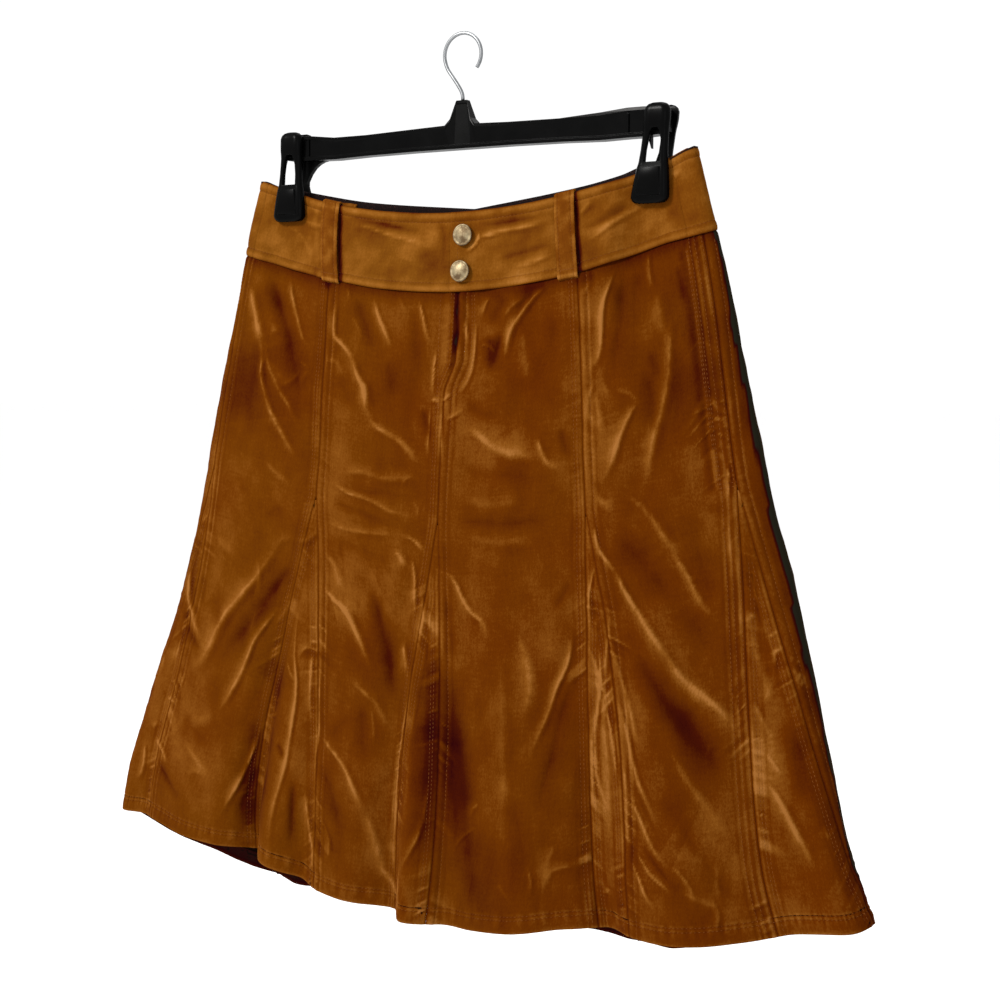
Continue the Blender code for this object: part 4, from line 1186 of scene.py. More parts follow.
def addPiece(mesh, name, stuff, nodes, inner=None):
    piece = bpy.data.objects.new(name, mesh)
    mesh.materials.append(stuff)
    if inner:
        mesh.materials.append(inner)
    bpy.context.scene.collection.objects.link(piece)
    mesh.shade_smooth()
    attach(piece, "root")
    if nodes:
        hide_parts(*nodes)
    return piece


def addStitches(node, forms, half):
    mesh = stitchMesh(node + "_stitching", forms, half)
    return addPiece(mesh, node + "_stitching", threadStuff, [])


# Bevel a moulding's edges.
def softened(piece, width, angle):
    made = piece.modifiers.new("edges", "BEVEL")
    made.width = width * mm
    made.segments = 3
    made.angle_limit = radians(angle)


def thicken(piece, thickness, offset=0.0, lining=0):
    made = piece.modifiers.new("wall", "SOLIDIFY")
    made.thickness = thickness * mm
    made.offset = offset
    made.use_even_offset = False
    made.material_offset = lining
    made.material_offset_rim = 0


# Area of a grid's middle surface in square metres.
def gridArea(points):
    a, b = points[1:, 1:] - points[:-1, :-1], points[1:, :-1] - points[:-1, 1:]
    return float(np.linalg.norm(np.cross(a, b), axis=2).sum() / 2 * mm * mm)


# Declare a panel's flat cut from its own grid: greatest width, length and area.
def sheetFor(piece, points):
    width = float(np.linalg.norm(np.diff(points, axis=1), axis=2).sum(1).max()) * mm
    length = float(np.linalg.norm(np.diff(points, axis=0), axis=2).sum(0).max()) * mm
    area = min(gridArea(points), width * length)
    print(piece.name, "flat", round(width, 3), "x", round(length, 3), "m, area", round(area, 4))


def lineOf(place, side):
    turns, index = divmod(place, len(seams))
    return lambda share: branchLine(seams[index], side, share) + 360.0 * turns


# The right gore's front edge is the fly's folded lip, a little raised above its slit, with painted shade
# along its edge.
def flyLip(height, tone, angle, share, fromFirst, fromLast):
    held = smooth((fly["end"] - 0.02 - share) / fly["blend"])
    height = height + held * fly["lipRise"] * bump(fromFirst, 3.0, 4.0)
    height = height - held * 0.4 * bump(fromFirst, 22.0, 6.0)
    return height, tone - held * 0.9 * bump(fromFirst, 0, 1.6)


# The left gore's edge goes under the lip; the gaping slit gets painted shade, with a lighter strip beside
# it.
def flyUnderlap(height, tone, angle, share, fromFirst, fromLast):
    held = smooth((fly["end"] - 0.02 - share) / fly["blend"])
    height = height - held * fly["sink"] * (1 - smooth((fromLast - 1.0) / 5.0))
    opened = smooth((fly["gapEnd"] - share) / 0.04) * (0.75 + 0.25 * np.sin(share * 150))
    tone = tone - fly["gapDark"] * opened * (1 - smooth((fromLast - 2.6) / 2.6))
    return height, tone + held * 0.45 * bump(fromLast, 10.5, 3.5)


pocket = {
    "top": 0.112,
    "foot": 0.435,
    "rows": (15.0, 7.5),       # distances of its two stitched rows from the side seam
}
rightEnd = {
    "begins": 81.5,            # angles between which the dark strip of painted deep shade lies
    "ends": 98.5,
    "thinFoot": 4.4,           # degrees by which the dark strip narrows below and at its top
    "thinHead": 2.2,
    "dark": 2.8,
    "shade": 0.55,
}


# The pocket's edge beside the right seam, with the cloth drawn in short pulls across it; the pulls get
# painted highlight and shade, two lighter lines run down it, and the cloth beside its rows gets painted
# shade.
def pocketPulls(height, tone, angle, share, fromFirst, fromLast):
    held = smooth((share - pocket["top"]) / 0.01) * smooth((pocket["foot"] - share) / 0.01)
    down = share * cut["length"]
    outer, inner = pocket["rows"]
    drawn = held * (crinkle(np.abs(fromLast - outer), down, 2.3, 0.7)
                    + 0.8 * crinkle(np.abs(fromLast - inner), down, 4.1, 0.7))
    edges = bump(fromLast, 15.2, 0.9) + 0.7 * bump(fromLast, 10.2, 0.9)
    lines = held * (0.7 + 0.4 * np.sin(down / 9.0)) * edges
    height = height + 0.5 * drawn - held * 0.6 * bump(fromLast, 17.2, 1.2)
    shaded = held * (0.5 * bump(fromLast, 19.5, 3.0) + 0.35 * bump(fromLast, 12.5, 2.0))
    return height, tone + 0.6 * drawn + 0.55 * lines - shaded


# Painted shade over the right end, which is turned away from the light, and a dark strip of painted deep
# shade past the side seam.
def rightEndShade(height, tone, angle, share, fromFirst, fromLast):
    away = wrapped(angle)
    tone = tone - rightEnd["shade"] * smooth((away - 74.0) / 12.0) * smooth((150.0 - away) / 30.0)
    begins = rightEnd["begins"] + 0.8 * np.sin(share * 47) + 0.5 * np.sin(share * 101)
    begins += rightEnd["thinFoot"] * smooth((share - 0.65) / 0.09)
    begins += rightEnd["thinHead"] * (1 - smooth((share - 0.12) / 0.12))
    fades = smooth((rightEnd["ends"] - away) / 7.0) * smooth((0.985 - share) / 0.06)
    return height, tone - rightEnd["dark"] * smooth((away - begins) / 1.2) * fades


frontGore = dict(top=0.090, step=1.5, skip=4, rowsFirst=(7.5,), rowsLast=(4.6, 7.5), extras=())
backGore = dict(frontGore, top=0.1012, step=3.1, skip=2)
panelLook = {
    "gore_front_side_left": dict(frontGore),
    "gore_front_centre_left": dict(frontGore, extras=(flyUnderlap,)),
    "gore_front_centre_right": dict(frontGore, extras=(flyLip,)),
    "gore_front_side_right": dict(frontGore, rowsLast=(2.0, 7.5, 12.0),
                                  extras=(pocketPulls, rightEndShade)),
    "gore_back_side_right": dict(backGore, extras=(rightEndShade,)),
    "gore_back_centre_right": dict(backGore),
    "gore_back_centre_left": dict(backGore),
    "gore_back_side_left": dict(backGore),
}
skirtCreases = frontCreases + mirroredCreases()
skirtCreases += faintCreases(71, 66, -84, 84) + faintCreases(73, 60, 96, 264)
madePanels = {}
hangsFrom = {}


# One gore or godet with its reverse, and the places of its stitches.
def buildPanel(node, first, last, look, stuff):
    panel, toned, uv = panelSurface(first, last, look, skirtCreases)
    points, tones, cloth = turnedHem(panel, toned, uv)
    turned = len(points) - len(panel.points)
    normals = np.concatenate([panel.normals, np.repeat(panel.normals[-1:], turned, 0)])
    madePanels[node] = panel
    if look["skip"]:
        behind = reverseLayer(panel.points, panel.normals, uv, cut["cloth"], look["skip"])
        mesh = gridMesh(node + "_cloth", rimmed(points, normals, cloth, tones, cut["cloth"]), behind)
    else:
        mesh = gridMesh(node + "_cloth", (points, cloth, tones, 0))
    piece = addPiece(mesh, node + "_cloth", stuff, [node], inner=reverse)
    if not look["skip"]:
        thicken(piece, cut["cloth"], offset=-1.0, lining=1)
    forms = []
    foot = 1.0 - 2.0 / cut["length"]
    for fromLast, key in ((False, "rowsFirst"), (True, "rowsLast")):
        for row in look[key]:
            forms += stitchForms(*edgeRun(panel, row, fromLast, look["top"] + 0.012, foot))
    for row in hem["rows"]:
        line = int(np.abs((1.0 - panel.shares) * cut["length"] - row).argmin())
        forms += stitchForms(panel.points[line], panel.normals[line])
    return piece, panel.points, forms


for index, (node, look) in enumerate(panelLook.items()):
    look["seed"] = index * 1.3
    first, last = lineOf(index, "after"), lineOf(index + 1, "before")
    look["stitch"] = buildPanel(node, first, last, look, velvet)
    print(node, "made")

for index, seam in enumerate(seams):
    front = abs(wrapped(seam.apex)) < 80
    look = dict(top=cut["godetTop"] + 0.006, step=1.6 if front else 3.1, skip=0, seed=index * 2.1)
    look.update(rowsFirst=(5.0, 7.5), rowsLast=(5.0, 7.5), extras=())
    if seam.name == "side_right":
        look["extras"] = (rightEndShade,)
    first, last = lineOf(index, "before"), lineOf(index, "after")
    look["stitch"] = buildPanel("godet_" + seam.name, first, last, look, godetVelvet)
    panelLook["godet_" + seam.name] = look
print("godets made")


# A line of stitching that crosses a panel.
def stitchPath(node, path):
    spots = np.array(path, float)
    marks, corners = np.linspace(0, 1, 60), np.linspace(0, 1, len(spots))
    angle, share = np.interp(marks, corners, spots[:, 0]), np.interp(marks, corners, spots[:, 1])
    return stitchForms(*locate(madePanels[node], angle, share))


crossings = {
    "gore_front_centre_right": [
        ((5.9, .112), (6.0, .15), (6.0, .19), (5.6, .215), (4.6, .235), (2.6, .25), (1.0, .259)),
        ((5.3, .112), (5.4, .15), (5.4, .188), (5.0, .21), (4.1, .228), (2.3, .243), (1.2, .251)),
    ],
    "gore_front_centre_left": [
        ((-2.2, .112), (-2.2, .16), (-2.1, .21), (-1.6, .27)),
        ((-1.9, .268), (-.8, .268)),
        ((-1.9, .271), (-.8, .271)),
    ],
    "gore_front_side_right": [
        ((61.5, .424), (66, .425), (70.6, .426)),
        ((61.5, .429), (66, .430), (70.6, .431)),
        ((63.8, .118), (63.6, .20), (62.6, .30), (61.6, .40), (61.5, .424)),
        ((64.5, .118), (64.3, .20), (63.2, .30), (62.2, .40), (62.1, .424)),
    ],
}
for node, paths in crossings.items():
    for path in paths:
        panelLook[node]["stitch"][2].extend(stitchPath(node, path))

for node, look in panelLook.items():
    piece, points, forms = look["stitch"]
    hangsFrom[node] = (piece, points, addStitches(node, forms, 0.0))
print("panel stitching made")


band = {
    "wall": 1.9,
    "rise": 0.75,
    "stops": (0, 0.5, 1.4, 3.0, 5.0, 6.3, 7.0, 7.7, 9.2),
    "row": 7.0,                # distance of its stitching from either edge
    "rightFrom": 0.2,
    "rightTo": 66.0,
    "backTo": 288.0,
    "backDip": 3.8,            # how far the back's edge sags between the clips
    "frontLift": 1.3,
    "loopShade": 2.2,
    "perDegree": 3.6,
}

Loop = namedtuple("Loop", "name top foot half")
loops = [Loop(*row) for row in (
    ("belt_loop_front_left", -36.0, -32.5, 8.4),
    ("belt_loop_front_right", 30.2, 28.8, 8.2),
    ("belt_loop_back_right", 143, 144, 8.6),
    ("belt_loop_back_centre", 180, 180, 8.6),
    ("belt_loop_back_left", 217, 216, 8.6),
)]


# How far the back's upper edge hangs below its plan between the clips.
def backDip(angle, depth):
    return band["backDip"] * smooth((np.abs(wrapped(angle)) - 94.0) / 22.0) * np.clip(1 - depth / 28, 0, 1)


# A stretch of waistband from its upper edge down, its ends at these angles.
def bandSurface(first, last, creases, step, rise, overlap=(0.0, 0.0)):
    length = cut["bandLength"]
    stops = np.array(band["stops"]) / length
    count = int(round((length - 2 * band["stops"][-1]) / step)) + 1
    middle = np.linspace(stops[-1], 1 - stops[-1], count)[1:-1]
    parts = np.concatenate([stops, middle, 1 - stops[::-1]])
    shares = parts * cut["bandShare"]
    angles, arcs, width = panelPlan(lambda share: np.full_like(share, first),
                                    lambda share: np.full_like(share, last), shares, step)
    count = angles.shape[1]
    flatAngles = angles.ravel()
    flatShares = np.repeat(parts, count) * bandFoot(flatAngles)
    plain = clothPoint(flatAngles, flatShares)
    normal = clothNormal(flatAngles, flatShares)
    height, tone = creaseField(plain, creases)
    depth = np.repeat(parts, count) * length
    below = length - depth
    run = flatAngles * band["perDegree"]
    fromFirst = arcs.ravel()
    fromLast = np.repeat(width, count) - fromFirst
    for edge in (depth, below):
        height += 0.35 * bump(edge, 3.4, 2.4) - 0.5 * bump(edge, 0, 0.9)
        height -= 0.42 * bump(edge, band["row"], 0.85)
        waves = np.sin(run / 1.25 + 1.7 * np.sin(run / 17.0)) + 0.6 * np.sin(run / 2.1)
        height += 0.16 * waves * bump(edge, 7.5, 4.5)
        # painted highlight beside the stitching and on the rolled edge, painted shade in the stitch line
        # and at the edge itself
        tone += 0.40 * bump(edge - band["row"], 1.1, 0.9)
        tone += 0.45 * bump(edge, 2.4, 1.7) - 0.7 * bump(edge, 0, 0.8)
        tone -= 0.30 * bump(edge, band["row"], 0.7)
    for edge in (fromFirst, fromLast):
        height -= 0.7 * bump(edge, 0, 0.9)
    height += 0.25 * ripples(plain, 40, 23) + 0.12 * ripples(plain, 15, 27)
    tone += 0.14 * ripples(plain, 46, 31, (1, 1, 1.6)) + 0.08 * ripples(plain, 14, 33)
    under, over = 1 - smooth((fromFirst - 2.0) / 26.0), 1 - smooth(fromLast / 22.0)
    height += overlap[0] * under + overlap[1] * over
    points = plain + normal * (height + rise)[:, None]
    points[:, 2] += band["frontLift"] * np.clip(1 - depth / 20, 0, 1) * (np.abs(wrapped(flatAngles)) < 80)
    points[:, 2] -= backDip(flatAngles, depth)
    points = points.reshape(len(shares), count, 3)
    for item in loops:
        # the deep shadow beside each loop's right edge
        centre = item.top + (item.foot - item.top) * flatShares / cut["bandShare"]
        pair = clothPoint(np.array([item.foot - 0.2, item.foot + 0.2]), np.array([0.05, 0.05]))
        across = wrapped(flatAngles - centre) * np.linalg.norm(pair[1] - pair[0]) / 0.4
        tone -= band["loopShade"] * bump(across - item.half, 1.3, 1.9)
    uv = np.stack([arcs, np.repeat(parts[:, None] * -length, count, 1)], 2)
    return Panel(shares, angles, arcs, points, gridNormals(points)), tone.reshape(len(shares), count), uv


# The back of the band creases as its front does, less deeply.
def mirroredBand():
    kept = []
    pick = np.random.default_rng(43)
    for crease in bandCreases:
        path = []
        for angle, share in crease.path:
            turn, drop = pick.uniform(-2, 2), pick.uniform(-0.006, 0.006)
            path.append((180.0 - angle + turn, min(0.1, max(0.008, share + drop))))
        kept.append(Crease(path, crease.width, crease.height * 0.8, crease.tone * 0.8))
    return kept


bandParts = [
    ("waistband_front_left", band["backTo"] - 360.0, band["rightFrom"], 1.9, (0.0, -0.5)),
    ("waistband_front_right", band["rightFrom"], band["rightTo"], 1.9, (0.9, 0.0)),
    ("waistband_back", band["rightTo"], band["backTo"], 3.4, (0.0, 0.0)),
]
allBandCreases = bandCreases + mirroredBand()
for node, first, last, step, overlap in bandParts:
    panel, toned, uv = bandSurface(first, last, allBandCreases, step, band["rise"], overlap)
    madePanels[node] = panel
    mesh = gridMesh(node + "_cloth", (panel.points, uv, toned, 0))
    piece = addPiece(mesh, node + "_cloth", bandVelvet, [node], inner=reverse)
    thicken(piece, band["wall"], lining=1)
    forms = []
    for row in (band["row"], cut["bandLength"] - band["row"]):
        line = int(np.abs(panel.shares / cut["bandShare"] * cut["bandLength"] - row).argmin())
        forms += stitchForms(panel.points[line], panel.normals[line])
    if node == "waistband_front_right":
        forms += stitchForms(*edgeRun(panel, band["row"], False, 0.012, 0.096))
    stitches = addStitches(node, forms, band["wall"] / 2)
    hangsFrom[node] = (piece, panel.points, stitches)
print("waistband made")


facing = {
    "wall": 1.0,
    "rise": -1.1,
    "foot": 0.0995,
    "rows": 15,
    "columns": 190,
    "overRim": ((0.0, 0.2), (0.35, 0.9), (0.35, 2.0), (0.0, 2.9)),
}


# The dark facing lines the back of the band and rolls over its upper edge.
def buildFacing():
    rows, columns = facing["rows"], facing["columns"]
    shares = np.linspace(0.0, facing["foot"], rows)
    angles = np.linspace(band["rightTo"] + 0.1, band["backTo"] - 0.1, columns)
    grid = np.meshgrid(angles, shares)
    flatAngles, flatShares = grid[0].ravel(), grid[1].ravel()
    plain = clothPoint(flatAngles, flatShares)
    normal = clothNormal(flatAngles, flatShares)
    uneven = 0.12 * ripples(plain, 30, 51)
    body = plain + normal * (facing["rise"] + uneven)[:, None]
    body[:, 2] -= backDip(flatAngles, flatShares * cut["length"])
    body = body.reshape(rows, columns, 3)
    rim, outward = body[0], normal[:columns]
    rolled = [rim + outward * out + np.array([0, 0, up]) for up, out in facing["overRim"]]
    points = np.concatenate([np.array(rolled)[::-1], body])
    uv = np.stack(np.meshgrid(np.linspace(0, 700, columns), np.linspace(0, -62, len(points))), 2)
    mesh = gridMesh("waistband_facing_cloth", (points, uv, np.zeros(points.shape[:2]), 0))
    piece = addPiece(mesh, "waistband_facing_cloth", facingCloth, ["waistband_facing_back"])
    thicken(piece, facing["wall"])
    return piece, points


facingPiece, facingPoints = buildFacing()

loop = {
    "rise": 2.6,
    "arch": 2.4,
    "wall": 1.9,
    "rows": 5.6,
    "foot": 0.1115,
    "frontHead": -0.004,       # shares at which the loops begin: over the front's edge, under the back's
    "backHead": 0.011,
    "length": 68.0,
}
sideStops = (0.2, 0.4, 0.58, 0.66, 0.76, 0.88, 0.96, 1)
acrossStops = (*(-stop for stop in sideStops[::-1]), 0, *sideStops)


# A strip stitched down at both ends, arched clear of the band, with its foot folded under.
def buildLoop(item):
    across = np.array(acrossStops) * item.half
    parts = np.concatenate([[-0.020, -0.0165, -0.012, -0.007], np.linspace(0.0, 1.0, 46)])
    front = abs(wrapped(item.foot)) < 90
    head = loop["frontHead" if front else "backHead"]
    shares = np.where(parts < 0, head, head + (loop["foot"] - head) * parts)
    rows = []
    for share in shares:
        middle = item.top + (item.foot - item.top) * max(share, 0) / cut["bandShare"]
        pair = clothPoint(np.array([middle - 0.2, middle + 0.2]), np.array([share, share]))
        perDegree = np.linalg.norm(pair[1] - pair[0]) / 0.4
        rows.append(middle + across / perDegree)
    angles = np.array(rows)
    flatAngles, flatShares = angles.ravel(), np.repeat(shares, len(across))
    plain, normal = clothPoint(flatAngles, flatShares), clothNormal(flatAngles, flatShares)
    up = np.repeat(parts, len(across))
    side = np.tile(across, len(parts))
    arch = loop["arch"] * np.sin(pi * np.clip((up - 0.05) / 0.90, 0, 1)) ** 0.6
    height = loop["rise"] + arch
    height -= 0.45 * bump(np.abs(side), loop["rows"], 0.8) * smooth(up * 20)
    height -= 0.8 * bump(np.abs(side), item.half, 0.7)
    height += 0.28 * np.sin(up * 66 + side * 0.5) * smooth((0.98 - up) * 6) * 0.6
    height += 0.7 * bump(up, 0.955, 0.03) - 0.5 * bump(up, 0.90, 0.012)
    height -= 1.7 * smooth((up - 0.985) / 0.015)
    over = np.clip(-up / 0.020, 0, 1)
    height -= 6.2 * over
    points = plain + normal * height[:, None]
    points[:, 2] += (1.0 if front else 0.2) * np.sin(pi * over) - 2.2 * np.clip((over - 0.6) / 0.4, 0, 1)
    points = points.reshape(len(parts), len(across), 3)
    # painted highlight beside the stitch rows, on the folded foot and near the top; painted shade in the
    # rows and under the fold
    tone = 0.12 * ripples(plain, 12, 61) + 0.3 * bump(np.abs(side) - loop["rows"], 1.2, 0.8)
    tone -= 0.4 * bump(np.abs(side), loop["rows"], 0.6)
    tone += 0.8 * bump(up, 0.965, 0.018) - 1.0 * bump(up, 0.995, 0.008)
    tone += 0.35 * bump(up, 0.06, 0.03)
    uv = np.stack(np.meshgrid(across, parts * -loop["length"]), 2)
    name = item.name + "_cloth"
    mesh = gridMesh(name, (points, uv, tone.reshape(len(parts), len(across)), 0))
    piece = addPiece(mesh, name, loopVelvet, [item.name], inner=reverse)
    thicken(piece, loop["wall"], lining=1)
    normals = gridNormals(points)
    forms = []
    for edge in (-loop["rows"], loop["rows"]):
        column = int(np.abs(across - edge).argmin())
        forms += stitchForms(points[6:-2, column], normals[6:-2, column], 2.9)
    row = len(parts) - 6
    forms += stitchForms(points[row, 1:-1], normals[row, 1:-1], 1.9)
    return piece, points, addStitches(item.name, forms, loop["wall"] / 2)


for item in loops:
    hangsFrom[item.name] = buildLoop(item)
print("belt loops made")


Turn = namedtuple("Turn", "radius height")
buttonTurns = [Turn(*row) for row in (
    (0.0, 0.0), (3.2, 0.0), (3.2, 1.1), (7.2, 1.15), (8.2, 1.5), (8.5, 2.0),
    (8.45, 2.5), (8.1, 2.85), (7.6, 2.95), (7.1, 2.75), (6.6, 2.7), (6.0, 2.95),
    (5.0, 3.45), (3.8, 3.85), (2.4, 4.15), (1.2, 4.28), (0.0, 4.32),
)]
Button = namedtuple("Button", "node angle share")
buttons = [Button("button_upper", 3.7, 0.030), Button("button_lower", 3.0, 0.080)]
buttonForm = {
    "stand": 2.75,             # how far its back lies off the plain surface
    "steps": 56,
}


# A domed button with a rolled rim, turned on its shank and set square to the band.
def buildButton(button):
    bm = bmesh.new()
    ring = [bm.verts.new((turn.radius * mm, 0, turn.height * mm)) for turn in buttonTurns]
    line = [bm.edges.new(pair) for pair in zip(ring, ring[1:])]
    bmesh.ops.spin(bm, geom=line, cent=(0, 0, 0), axis=(0, 0, 1), angle=2 * pi,
                   steps=buttonForm["steps"], use_merge=True)
    bmesh.ops.remove_doubles(bm, verts=bm.verts, dist=0.00001)
    angle, share = np.array([button.angle]), np.array([button.share])
    normal = Vector(clothNormal(angle, share)[0])
    base = Vector(clothPoint(angle, share, buttonForm["stand"])[0])
    turn = Vector((0, 0, 1)).rotation_difference(normal).to_matrix().to_4x4()
    bmesh.ops.transform(bm, matrix=turn, verts=bm.verts)
    bmesh.ops.translate(bm, vec=base * mm, verts=bm.verts)
    bmesh.ops.recalc_face_normals(bm, faces=bm.faces)
    mesh = meshOf(bm, button.node + "_metal")
    addPiece(mesh, button.node + "_metal", buttonMetal, [button.node])


for button in buttons:
    buildButton(button)
print("buttons made")


Station = namedtuple("Station", "x top bottom")
barStations = [Station(*row) for row in (
    (-174, -73, -88), (-169, -71, -90), (-158, -70.5, -91), (-144, -71, -91),
    (-122, -73.5, -91.5), (-90, -73.5, -90.5), (-45, -72, -90), (-14, -71, -90),
    (-9.5, -66, -90), (-5, -51.5, -90), (5, -51.5, -90), (9.5, -66, -90),
    (14, -71, -90), (45, -72, -90), (90, -72.5, -90.5), (125, -70.5, -91.5),
    (148, -68.5, -91), (160, -68.5, -91), (174, -69, -90), (181, -72, -88),
)]
hanger = {
    "halfDepth": 5.9,
    "rimWide": 2.6,
    "recess": 0.7,
    "wire": 1.5,
    "hookRadius": 17.0,
    "turnBegins": 192.0,
    "turnEnds": -40.0,
    "gussets": [(-156.0, 44.0, 19.0, 1), (165.0, 10.0, 9.0, -1)],      # corner, reach, drop, direction
    "ribs": (-148.0, 149.0),
    "underside": -90.5,
    "barBevel": 0.9,
    "jawBevel": 0.55,
    # the wire's course up to its turn
    "neck": [(0, -51.4), (0, -48), (-1.5, -43.5), (-8.5, -33.5), (-14.5, -26.0)],
}


# A flat bar with a rim along both edges, a recessed middle and a neck that thins towards the hook.
def buildBar():
    half, rim, deep = hanger["halfDepth"], hanger["rimWide"], hanger["recess"]
    section = [
        (-half, 0, 0), (-half, 1, 0), (-half + deep, 1, 0.8), (-half + deep, -1, -0.8), (-half, -1, 0),
        (-half, 2, 0), (half, 2, 0), (half, -1, 0), (half - deep, -1, -0.8), (half - deep, 1, 0.8),
        (half, 1, 0), (half, 0, 0),
    ]
    bm = bmesh.new()
    count = len(section)
    bmesh.ops.create_grid(bm, x_segments=len(barStations) - 1, y_segments=count, size=0.5)
    for vert in bm.verts:
        column = round((vert.co.x + 0.5) * (len(barStations) - 1))
        row = round((vert.co.y + 0.5) * count) % count
        station = barStations[column]
        y, edge, more = section[row]
        heights = {0: station.top, 1: station.top - rim, -1: station.bottom + rim, 2: station.bottom}
        z = heights[edge] - more
        thin = 1.0 - 0.6 * ramp((z + 72.0) / 19.0)
        vert.co = Vector((station.x, y * thin, z)) * mm
    bmesh.ops.remove_doubles(bm, verts=bm.verts, dist=0.00001)
    ends = [edge for edge in bm.edges if edge.is_boundary]
    bmesh.ops.holes_fill(bm, edges=ends, sides=0)
    bmesh.ops.triangulate(bm, faces=[face for face in bm.faces if len(face.verts) > 4])
    addGussets(bm)
    bmesh.ops.recalc_face_normals(bm, faces=bm.faces)
    mesh = meshOf(bm, "hanger_bar_moulding")
    piece = addPiece(mesh, "hanger_bar_moulding", plastic, ["hanger_bar"])
    softened(piece, hanger["barBevel"], 35)
    mesh.shade_flat()


# Curved webs that join the bar to the clips behind, and short ribs across its front.
def addGussets(bm):
    for corner, reach, drop, way in hanger["gussets"]:
        made = bmesh.ops.create_grid(bm, x_segments=10, y_segments=1, size=0.5)
        front = made["verts"]
        for vert in front:
            part = vert.co.x + 0.5
            below = vert.co.y < 0
            x = corner + way * reach * part
            z = hanger["underside"] - drop * (1 - part) ** 5 if below else hanger["underside"] + 2.5
            vert.co = Vector((x, 1.2, z)) * mm
        face = [item for vert in front for item in vert.link_faces]
        thick = bmesh.ops.extrude_face_region(bm, geom=list(dict.fromkeys(face)), use_keep_orig=True)
        lifted = [item for item in thick["geom"] if isinstance(item, bmesh.types.BMVert)]
        bmesh.ops.translate(bm, vec=(0, 4.5 * mm, 0), verts=lifted)
    for x in hanger["ribs"]:
        block = bmesh.ops.create_cube(bm, size=1.0)["verts"]
        bmesh.ops.scale(bm, vec=(1.5 * mm, 1.4 * mm, 14.0 * mm), verts=block)
        bmesh.ops.translate(bm, vec=(x * mm, (0.1 - hanger["halfDepth"]) * mm, -79.8 * mm), verts=block)


# The wire rises from the neck, swings out and turns over the rail.
def buildHook():
    centre = -hanger["hookRadius"] + hanger["wire"]
    spots = [Vector((x, 0, z)) for x, z in hanger["neck"]]
    radius = hanger["hookRadius"]
    for turned in np.radians(np.linspace(hanger["turnBegins"], hanger["turnEnds"], 40)):
        spots.append(Vector((radius * cos(turned), 0, centre + radius * sin(turned))))
    curve = bpy.data.curves.new("hook_course", "CURVE")
    curve.dimensions = "3D"
    curve.bevel_depth = hanger["wire"] * mm
    curve.bevel_resolution = 5
    curve.use_fill_caps = True
    curve.resolution_u = 3
    spline = curve.splines.new("NURBS")
    spline.points.add(len(spots) - 1)
    for point, spot in zip(spline.points, spots):
        point.co = (*(spot * mm), 1)
    spline.use_endpoint_u = True
    spline.order_u = 3
    source = bpy.data.objects.new("hook_course", curve)
    bpy.context.scene.collection.objects.link(source)
    bpy.context.view_layer.update()
    mesh = bpy.data.meshes.new_from_object(source.evaluated_get(bpy.context.evaluated_depsgraph_get()))
    bpy.data.objects.remove(source)
    bm = bmesh.new()
    bm.from_mesh(mesh)
    bmesh.ops.remove_doubles(bm, verts=bm.verts, dist=0.00002)
    bmesh.ops.recalc_face_normals(bm, faces=bm.faces)
    bm.to_mesh(mesh)
    bm.free()
    mesh.name = "hook_wire"
    mesh.materials.clear()
    addPiece(mesh, "hook_wire_bent", wireMetal, ["hanger_hook"])


JawRow = namedtuple("JawRow", "z half window inset thick")
jawRows = [JawRow(*row) for row in (
    (-67.0, 4.5, 2.0, 1.0, 2.6), (-67.9, 7.4, 3.0, 0.4, 4.4), (-69.6, 9.3, 3.6, 0.1, 5.8),
    (-72.5, 10.4, 4.0, 0.0, 6.5), (-78.5, 10.5, 4.2, 0.0, 6.5), (-83.0, 10.4, 3.6, 0.1, 6.1),
    (-85.5, 10.3, 2.4, 0.2, 5.5), (-88.5, 10.3, 4.2, 0.2, 5.1), (-94.0, 10.6, 5.6, 0.2, 4.8),
    (-102.0, 11.0, 6.5, 0.2, 4.8), (-110.5, 11.8, 6.6, 0.1, 5.0), (-112.2, 12.2, 6.9, 0.0, 5.3),
    (-114.5, 12.8, 7.6, 0.0, 5.6), (-122.0, 13.9, 8.4, 0.0, 6.0), (-131.0, 15.0, 9.6, 0.0, 6.2),
    (-135.5, 15.4, 9.8, 0.0, 6.2), (-137.2, 15.3, 9.2, 0.1, 5.9), (-139.4, 14.2, 8.4, 0.4, 5.2),
    (-140.8, 12.0, 7.0, 0.9, 4.2), (-141.4, 9.0, 5.5, 1.6, 3.0),
)]
jaw = {
    "inner": 6.2,
    "windowRows": (6, 10),
    "padRows": (12, 15),
    "padRise": 0.9,
    "edge": 1.6,               # width of the rounded edge
    # shift at the top and further shift at the pad, of the left and of the right clip
    "lean": ((1.8, -3.2), (-0.5, -6.0)),
    "rearWindow": 0.05,        # the rear clip's window is narrow on its right
    "rearShift": 8.2,          # and its left strut stands behind the front's right one
    "rearSlim": 3.6,           # the rear clip's right side is drawn in
    "rearRows": {4: 0.5, 5: 1, 6: 1, 7: 1, 8: 1, 9: 1, 10: 0.8, 11: 0.4},
}


